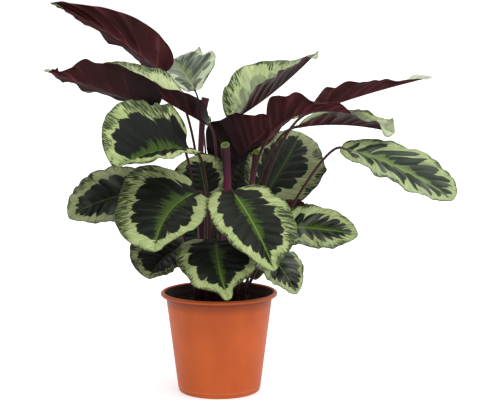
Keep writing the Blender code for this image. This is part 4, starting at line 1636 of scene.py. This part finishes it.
@dataclass
class NurseryPot:
    """The moulded pot: rolled lip, band under it, tapered wall, stepped foot, drained floor.

    under_lip are the band's upper corners, as radius beside the band's own and height from the lip's
    underside. band_corner is like them, but from the band's foot. band_edge and band_foot have
    heights in shares of band_slope, and band_foot a radius beside the wall's. wear_depth is how far
    down the lip is scuffed, and inner_shade_depth how far under that the painted shade inside the pot sets
    in.
    """
    height: float = 0.121
    rim_radius: float = 0.070
    lip_depth: float = 0.0052
    lip_bulge: float = 0.0005
    lip_turn: float = 155
    band_depth: float = 0.0035
    band_radius: float = 0.0645
    band_slope: float = 0.0006
    under_lip: tuple[Pair, ...] = ((0.0003, 0.0), (0.0, -0.0004))
    band_corner: Pair = (-0.0001, 0.0003)
    band_edge: Pair = (-0.0005, 0.4)
    band_foot: Pair = (0.0002, -0.7)
    wall_from: float = 1.6
    wall_top_radius: float = 0.0634
    foot_radius: float = 0.0490
    foot_round: float = 0.0030
    foot_step_height: float = 0.0045
    foot_step: float = 0.0007
    foot_step_slope: float = 0.0008
    sole_inset: float = 0.006
    wall: float = 0.0020
    floor: float = 0.0035
    floor_corner: float = 0.0080
    drains: int = 6
    drain_radius: float = 0.0035
    drain_circle: float = 0.034
    drain_sides: int = 32
    sides: int = 160
    floor_rings: int = 8
    inner_rings: int = 24
    lip_rings: int = 20
    wall_rings: int = 40
    foot_rings: int = 10
    sharp: float = 30.0
    wear: float = 0.8
    wear_depth: float = 0.0012
    inner_shade_depth: float = 0.003

    def wall_radius(self, height: float) -> float:
        """Outer radius of the wall at a height."""
        top = self.height - self.lip_depth - self.band_depth
        return self.foot_radius + (self.wall_top_radius - self.foot_radius) * height / top

    def arc(self, centre: Pair, radius: float, start: float, stop: float, steps: int) -> list[Pair]:
        """Points on an arc in the profile's plane, in degrees."""
        turns = np.radians(np.linspace(start, stop, steps + 1))
        return [(centre[0] + radius * math.cos(a), centre[1] + radius * math.sin(a)) for a in turns]

    def band(self) -> list[Pair]:
        """Draw the band under the lip.

        Returns:
            The corners of its outline, downwards.
        """
        top = self.height - self.lip_depth
        foot, slope = top - self.band_depth, self.band_slope
        line = [(self.band_radius + out, top + up) for out, up in self.under_lip]
        line.append((self.band_radius + self.band_corner[0], foot + slope + self.band_corner[1]))
        line.append((self.band_radius + self.band_edge[0], foot + slope * self.band_edge[1]))
        line.append((self.wall_radius(foot) + self.band_foot[0], foot + slope * self.band_foot[1]))
        return line

    def profile(self) -> list[Pair]:
        """Draw the pot's outline.

        Returns:
            Radii and heights, from the middle of its floor inside to the middle underneath.
        """
        roll = self.lip_depth / 2
        middle = self.height - roll
        band_foot = self.height - self.lip_depth - self.band_depth
        inner = self.foot_radius - self.foot_round - self.wall
        line = [(r, self.floor) for r in np.linspace(0.0, inner, self.floor_rings)]
        for height in np.linspace(self.floor_corner, band_foot - self.band_slope, self.inner_rings):
            line.append((self.wall_radius(height) - self.wall, height))
        line.append((self.rim_radius - 2 * roll + self.lip_bulge, middle))
        line += self.arc((self.rim_radius - roll, middle), roll, self.lip_turn, -90, self.lip_rings)[1:]
        line += self.band()
        top = self.foot_step_height + self.foot_step_slope
        for height in np.linspace(band_foot - self.band_slope * self.wall_from, top, self.wall_rings):
            line.append((self.wall_radius(height), height))
        edge = self.wall_radius(self.foot_step_height) - self.foot_step
        line.append((edge, self.foot_step_height))
        line += self.arc((edge - self.foot_round, self.foot_round), self.foot_round, 0, -90, self.foot_rings)
        sole = edge - self.foot_round - self.sole_inset
        line += [(r, 0.0) for r in np.linspace(sole, 0.0, self.floor_rings)]
        return line

    def build(self, finish: bpy.types.Material) -> bpy.types.Object:
        """Make and dress the pot.

        Args:
            finish: The pot's finish.

        Returns:
            The pot.
        """
        line = np.array(self.profile())
        turns = np.linspace(0, 2 * np.pi, self.sides, endpoint=False)
        inner, levels = line[1:-1], line[1:-1, 1]
        rings = np.concatenate([level_ring(radius, height, turns) for radius, height in inner])
        points = np.concatenate((rings, ((0, 0, line[0][1]), (0, 0, line[-1][1]))))
        body = mesh_from("pot_body", points, capped_faces(len(inner), self.sides, True), self.sharp)
        scuffed = self.height - self.wear_depth
        set_numbers(body, "wear", np.where(points[:, 2] > scuffed, self.wear, 0.0))
        # Painted shade inside the pot: none at the rim, full a little under it, on the inner wall and floor.
        inner_shade = np.clip((scuffed - levels) / self.inner_shade_depth, 0, 1) * (levels > self.floor / 2)
        inner_shade = inner_shade * (np.arange(len(inner)) < np.argmax(levels))
        set_numbers(body, "inner_shade", np.concatenate((np.repeat(inner_shade, self.sides), (1.0, 0.0))))
        mesh = self.drilled(body)
        mesh.materials.clear()
        mesh.materials.append(finish)
        mesh.set_sharp_from_angle(angle=math.radians(self.sharp))
        return add_piece("pot_fine", mesh, "pot")

    def drilled(self, body: bpy.types.Mesh) -> bpy.types.Mesh:
        """Cut the drainage holes through the pot's floor.

        Args:
            body: The pot's mesh without holes.

        Returns:
            The mesh with them.
        """
        pot = bpy.data.objects.new("pot_blank", body)
        bpy.context.scene.collection.objects.link(pot)
        for i in range(self.drains):
            turn = 2 * math.pi * (i + 0.5) / self.drains
            place = (self.drain_circle * math.cos(turn), self.drain_circle * math.sin(turn), 0.0)
            bpy.ops.mesh.primitive_cylinder_add(vertices=self.drain_sides, radius=self.drain_radius,
                                                depth=4 * self.floor, location=place)
            drill = bpy.context.object
            hole = pot.modifiers.new("Drain", "BOOLEAN")
            hole.object = drill
            bpy.context.view_layer.update()
            graph = bpy.context.evaluated_depsgraph_get()
            cut = bpy.data.meshes.new_from_object(pot.evaluated_get(graph))
            pot.modifiers.clear()
            pot.data = cut
            bpy.data.objects.remove(drill, do_unlink=True)
        made = pot.data
        bpy.data.objects.remove(pot, do_unlink=True)
        made.name = "pot_fine"
        return made


@dataclass
class SoilPlug:
    """The soil: an uneven top with crumbs on it, and plain sides inside the pot.

    lumps are the lengths of the top's swells, with the weight of each. crumb_rarity is how much
    rarer large crumbs are than small ones.
    """
    pot: NurseryPot
    ground: Ground
    crown: float = 0.0030
    gap: float = 0.0003
    roughness: float = 0.0016
    lumps: tuple[Pair, ...] = ((0.020, 0.5), (0.009, 0.3), (0.0045, 0.25))
    lump_ways: int = 5
    lump_share: float = 3
    lump_mean: float = 0.8
    rings: int = 60
    sides: int = 150
    crumbs: int = 900
    crumb_size: Pair = (0.0006, 0.0026)
    crumb_rarity: float = 3
    crumb_edge: float = 0.001
    crumb_lumps: float = 0.22
    crumb_squash: Pair = (0.55, 1.0)
    crumb_rise: float = 0.25
    seed: int = 7

    def height(self, x: np.ndarray, y: np.ndarray, radius: float) -> np.ndarray:
        """Height of the soil's top: a low crown with lumps of three sizes.

        Args:
            x: Places to the right.
            y: Places to the back.
            radius: Radius of the soil's top.

        Returns:
            The heights there.
        """
        share = np.hypot(x, y) / radius
        crown = self.ground.soil_top - self.crown * share ** 2
        lumps = np.zeros_like(x)
        draw = np.random.default_rng(self.seed)
        for size, weight in self.lumps:
            for _ in range(self.lump_ways):
                turn, phase = draw.uniform(0, 2 * np.pi, 2)
                way = x * np.cos(turn) + y * np.sin(turn)
                lumps = lumps + weight / self.lump_share * np.sin(2 * np.pi * way / size + phase)
        return crown + self.roughness * (lumps - self.lump_mean)

    def crumb_mesh(self, radius: float, draw: np.random.Generator) -> tuple[np.ndarray, list, np.ndarray]:
        """Crumbs strewn over the top.

        Args:
            radius: Radius of the soil's top.
            draw: The seeded source of chance.

        Returns:
            Their points, their faces and a tone for each point.
        """
        bpy.ops.mesh.primitive_ico_sphere_add(subdivisions=2, radius=1.0)
        ball = bpy.context.object
        shape = np.array([v.co for v in ball.data.vertices])
        sides = np.array([p.vertices for p in ball.data.polygons])
        bpy.data.objects.remove(ball, do_unlink=True)
        low, high = self.crumb_size
        points, faces, tones = [], [], []
        for i in range(self.crumbs):
            turn = draw.uniform(0, 2 * np.pi)
            out = (radius - self.crumb_edge) * math.sqrt(draw.uniform(0, 1))
            x, y = out * math.cos(turn), out * math.sin(turn)
            size = low + (high - low) * draw.uniform(0, 1) ** self.crumb_rarity
            lumpy = shape * (1 + draw.uniform(-self.crumb_lumps, self.crumb_lumps, (len(shape), 1)))
            squash = draw.uniform(*self.crumb_squash, 3) * size
            spin = np.linalg.qr(draw.normal(size=(3, 3)))[0]
            z = float(self.height(np.array(x), np.array(y), radius)) + size * self.crumb_rise
            points.append((lumpy * squash) @ spin + (x, y, z))
            faces.append(sides + i * len(shape))
            tones.append(np.full(len(shape), draw.uniform(0, 1)))
        return np.concatenate(points), np.concatenate(faces).tolist(), np.concatenate(tones)

    def build(self, finish: bpy.types.Material) -> bpy.types.Object:
        """Make and dress the soil.

        Args:
            finish: The soil's finish.

        Returns:
            The soil.
        """
        pot = self.pot
        edge = self.ground.soil_top - self.crown
        high = pot.wall_radius(edge) - pot.wall - self.gap
        low = pot.wall_radius(pot.floor_corner) - pot.wall - self.gap
        foot = pot.foot_radius - pot.foot_round - pot.wall - self.gap
        bottom = pot.floor + self.gap
        turns = np.linspace(0, 2 * np.pi, self.sides, endpoint=False)
        rings = []
        for radius in np.linspace(high / self.rings, high, self.rings):
            height = self.height(radius * np.cos(turns), radius * np.sin(turns), high)
            rings.append(level_ring(radius, height, turns))
        rings += [level_ring(low, pot.floor_corner + self.gap, turns), level_ring(foot, bottom, turns)]
        zero = np.zeros(1)
        middle = (0.0, 0.0, float(self.height(zero, zero, high)[0]))
        points = np.concatenate((np.concatenate(rings), (middle, (0.0, 0.0, bottom))))
        faces = capped_faces(len(rings), self.sides, True)
        crumbs, crumb_faces, tones = self.crumb_mesh(high, np.random.default_rng(self.seed + 1))
        faces += [[n + len(points) for n in face] for face in crumb_faces]
        mesh = mesh_from("soil_fine", np.concatenate((points, crumbs)), faces)
        set_numbers(mesh, "tone", np.concatenate((np.zeros(len(points)), tones)))
        mesh.materials.append(finish)
        return add_piece("soil_fine", mesh, "soil")


@dataclass
class Studio:
    """Pale floor, soft lights and the camera at the photograph's angle.

    The sky's light is dome all round, zenith more overhead, shade less from the left and backdrop
    more low down behind the plant. Each span is where on the sky's sphere that sets in and is full.
    """
    camera_place: Point = (0.037, -1.75, 0.45)
    camera_pitch: float = 7.14
    lens: float = 106.7
    sensor: float = 36.0
    nearest: float = 0.05
    floor_size: float = 60.0
    white: Color = (1.0, 1.0, 1.0, 1.0)
    floor_color: Color = (0.62, 0.62, 0.62, 1.0)
    floor_light: Color = (0.64, 0.64, 0.64, 1.0)
    floor_glow: float = 0.45
    floor_roughness: float = 0.9
    cloud_scale: float = 1.5
    dome: float = 0.62
    zenith: float = 0.90
    zenith_span: Pair = (0.15, 0.95)
    shade: float = 0.38
    shade_span: Pair = (-0.30, -0.85)
    backdrop: float = 0.43
    behind_span: Pair = (0.45, 0.85)
    low_span: Pair = (0.45, 0.20)
    lamp_power: float = 1.9
    lamp_angle: float = 65.0
    lamp_from: Point = (0.45, -0.60, 1.0)

    def sky(self) -> None:
        """Surround the plant with white light: stronger overhead and behind, weaker from the left."""
        world = bpy.data.worlds.new("Studio white")
        g = Graph(world)
        x, y, z = g.parts(g.node("ShaderNodeTexCoord").outputs["Generated"])
        overhead = g.times(g.step(z, *self.zenith_span), self.zenith)
        left = g.times(g.step(x, *self.shade_span), -self.shade)
        behind = g.times(g.step(y, *self.behind_span), g.step(z, *self.low_span), self.backdrop)
        sky = g.tree.nodes["Background"]
        sky.inputs[0].default_value = self.white
        g.feed(sky.inputs[1], g.add(overhead, self.dome, left, behind))
        bpy.context.scene.world = world

    def lamp(self) -> None:
        """Hang a wide soft lamp above the front right."""
        data = bpy.data.lights.new("key", "SUN")
        data.energy = self.lamp_power
        data.angle = math.radians(self.lamp_angle)
        lamp = bpy.data.objects.new("key", data)
        lamp.rotation_euler = (-Vector(self.lamp_from)).to_track_quat("-Z", "Y").to_euler()
        bpy.context.scene.collection.objects.link(lamp)

    def floor(self) -> None:
        """Lay the floor, with a faint glow that keeps it white round the pot's foot."""
        half = self.floor_size / 2
        points = np.array(((-half, -half, 0), (half, -half, 0), (half, half, 0), (-half, half, 0)), float)
        mesh = mesh_from("floor", points, [(0, 1, 2, 3)])
        g = Graph(bpy.data.materials.new("Floor"))
        color = g.mix(g.noise(g.place(), self.cloud_scale), self.floor_color, self.floor_light)
        glow = {"Emission_Color": self.white, "Emission_Strength": self.floor_glow}
        mesh.materials.append(g.dress(color, self.floor_roughness, **glow))
        floor = bpy.data.objects.new("floor", mesh)
        bpy.context.scene.collection.objects.link(floor)

    def camera(self) -> None:
        """Set up the camera."""
        data = bpy.data.cameras.new("camera")
        data.lens = self.lens
        data.sensor_width = self.sensor
        data.clip_start = self.nearest
        camera = bpy.data.objects.new("camera", data)
        camera.location = self.camera_place
        camera.rotation_euler = (math.radians(90 - self.camera_pitch), 0.0, 0.0)
        bpy.context.scene.collection.objects.link(camera)
        bpy.context.scene.camera = camera

    def build(self) -> None:
        """Set up the floor, the lights and the camera."""
        bpy.context.scene.view_settings.view_transform = "Standard"
        self.sky()
        self.lamp()
        self.floor()
        self.camera()
        LOG.info("studio: floor, sky, lamp and the camera")


@dataclass
class Plant:
    """The leaves and the cut stems."""
    ground: Ground

    def build(self) -> None:
        """Build and dress every blade, stalk and cut stem."""
        finishes = {marking: marking.value.material() for marking in Marking}
        finishes["under"] = BladeUnder().material()
        skins = {skin: skin.value.material() for skin in Skin}
        for number, leaf in enumerate(LEAVES, 1):
            Blade(leaf, number).build(finishes)
            Stalk(leaf, self.ground, number).build(skins[Skin.STALK])
        cut = CutFace().material()
        for stem in CUT_STEMS:
            stem.build(self.ground, skins[stem.skin], cut)


def main() -> None:
    """Build the pot, the soil, the plant and the studio."""
    logging.basicConfig(level=logging.INFO, format="%(name)s: %(message)s")
    ground, pot = Ground(), NurseryPot()
    pot.build(PotPlastic().material())
    SoilPlug(pot, ground).build(SoilGrain().material())
    Plant(ground).build()
    Studio().build()


if __name__ == "__main__":
    main()
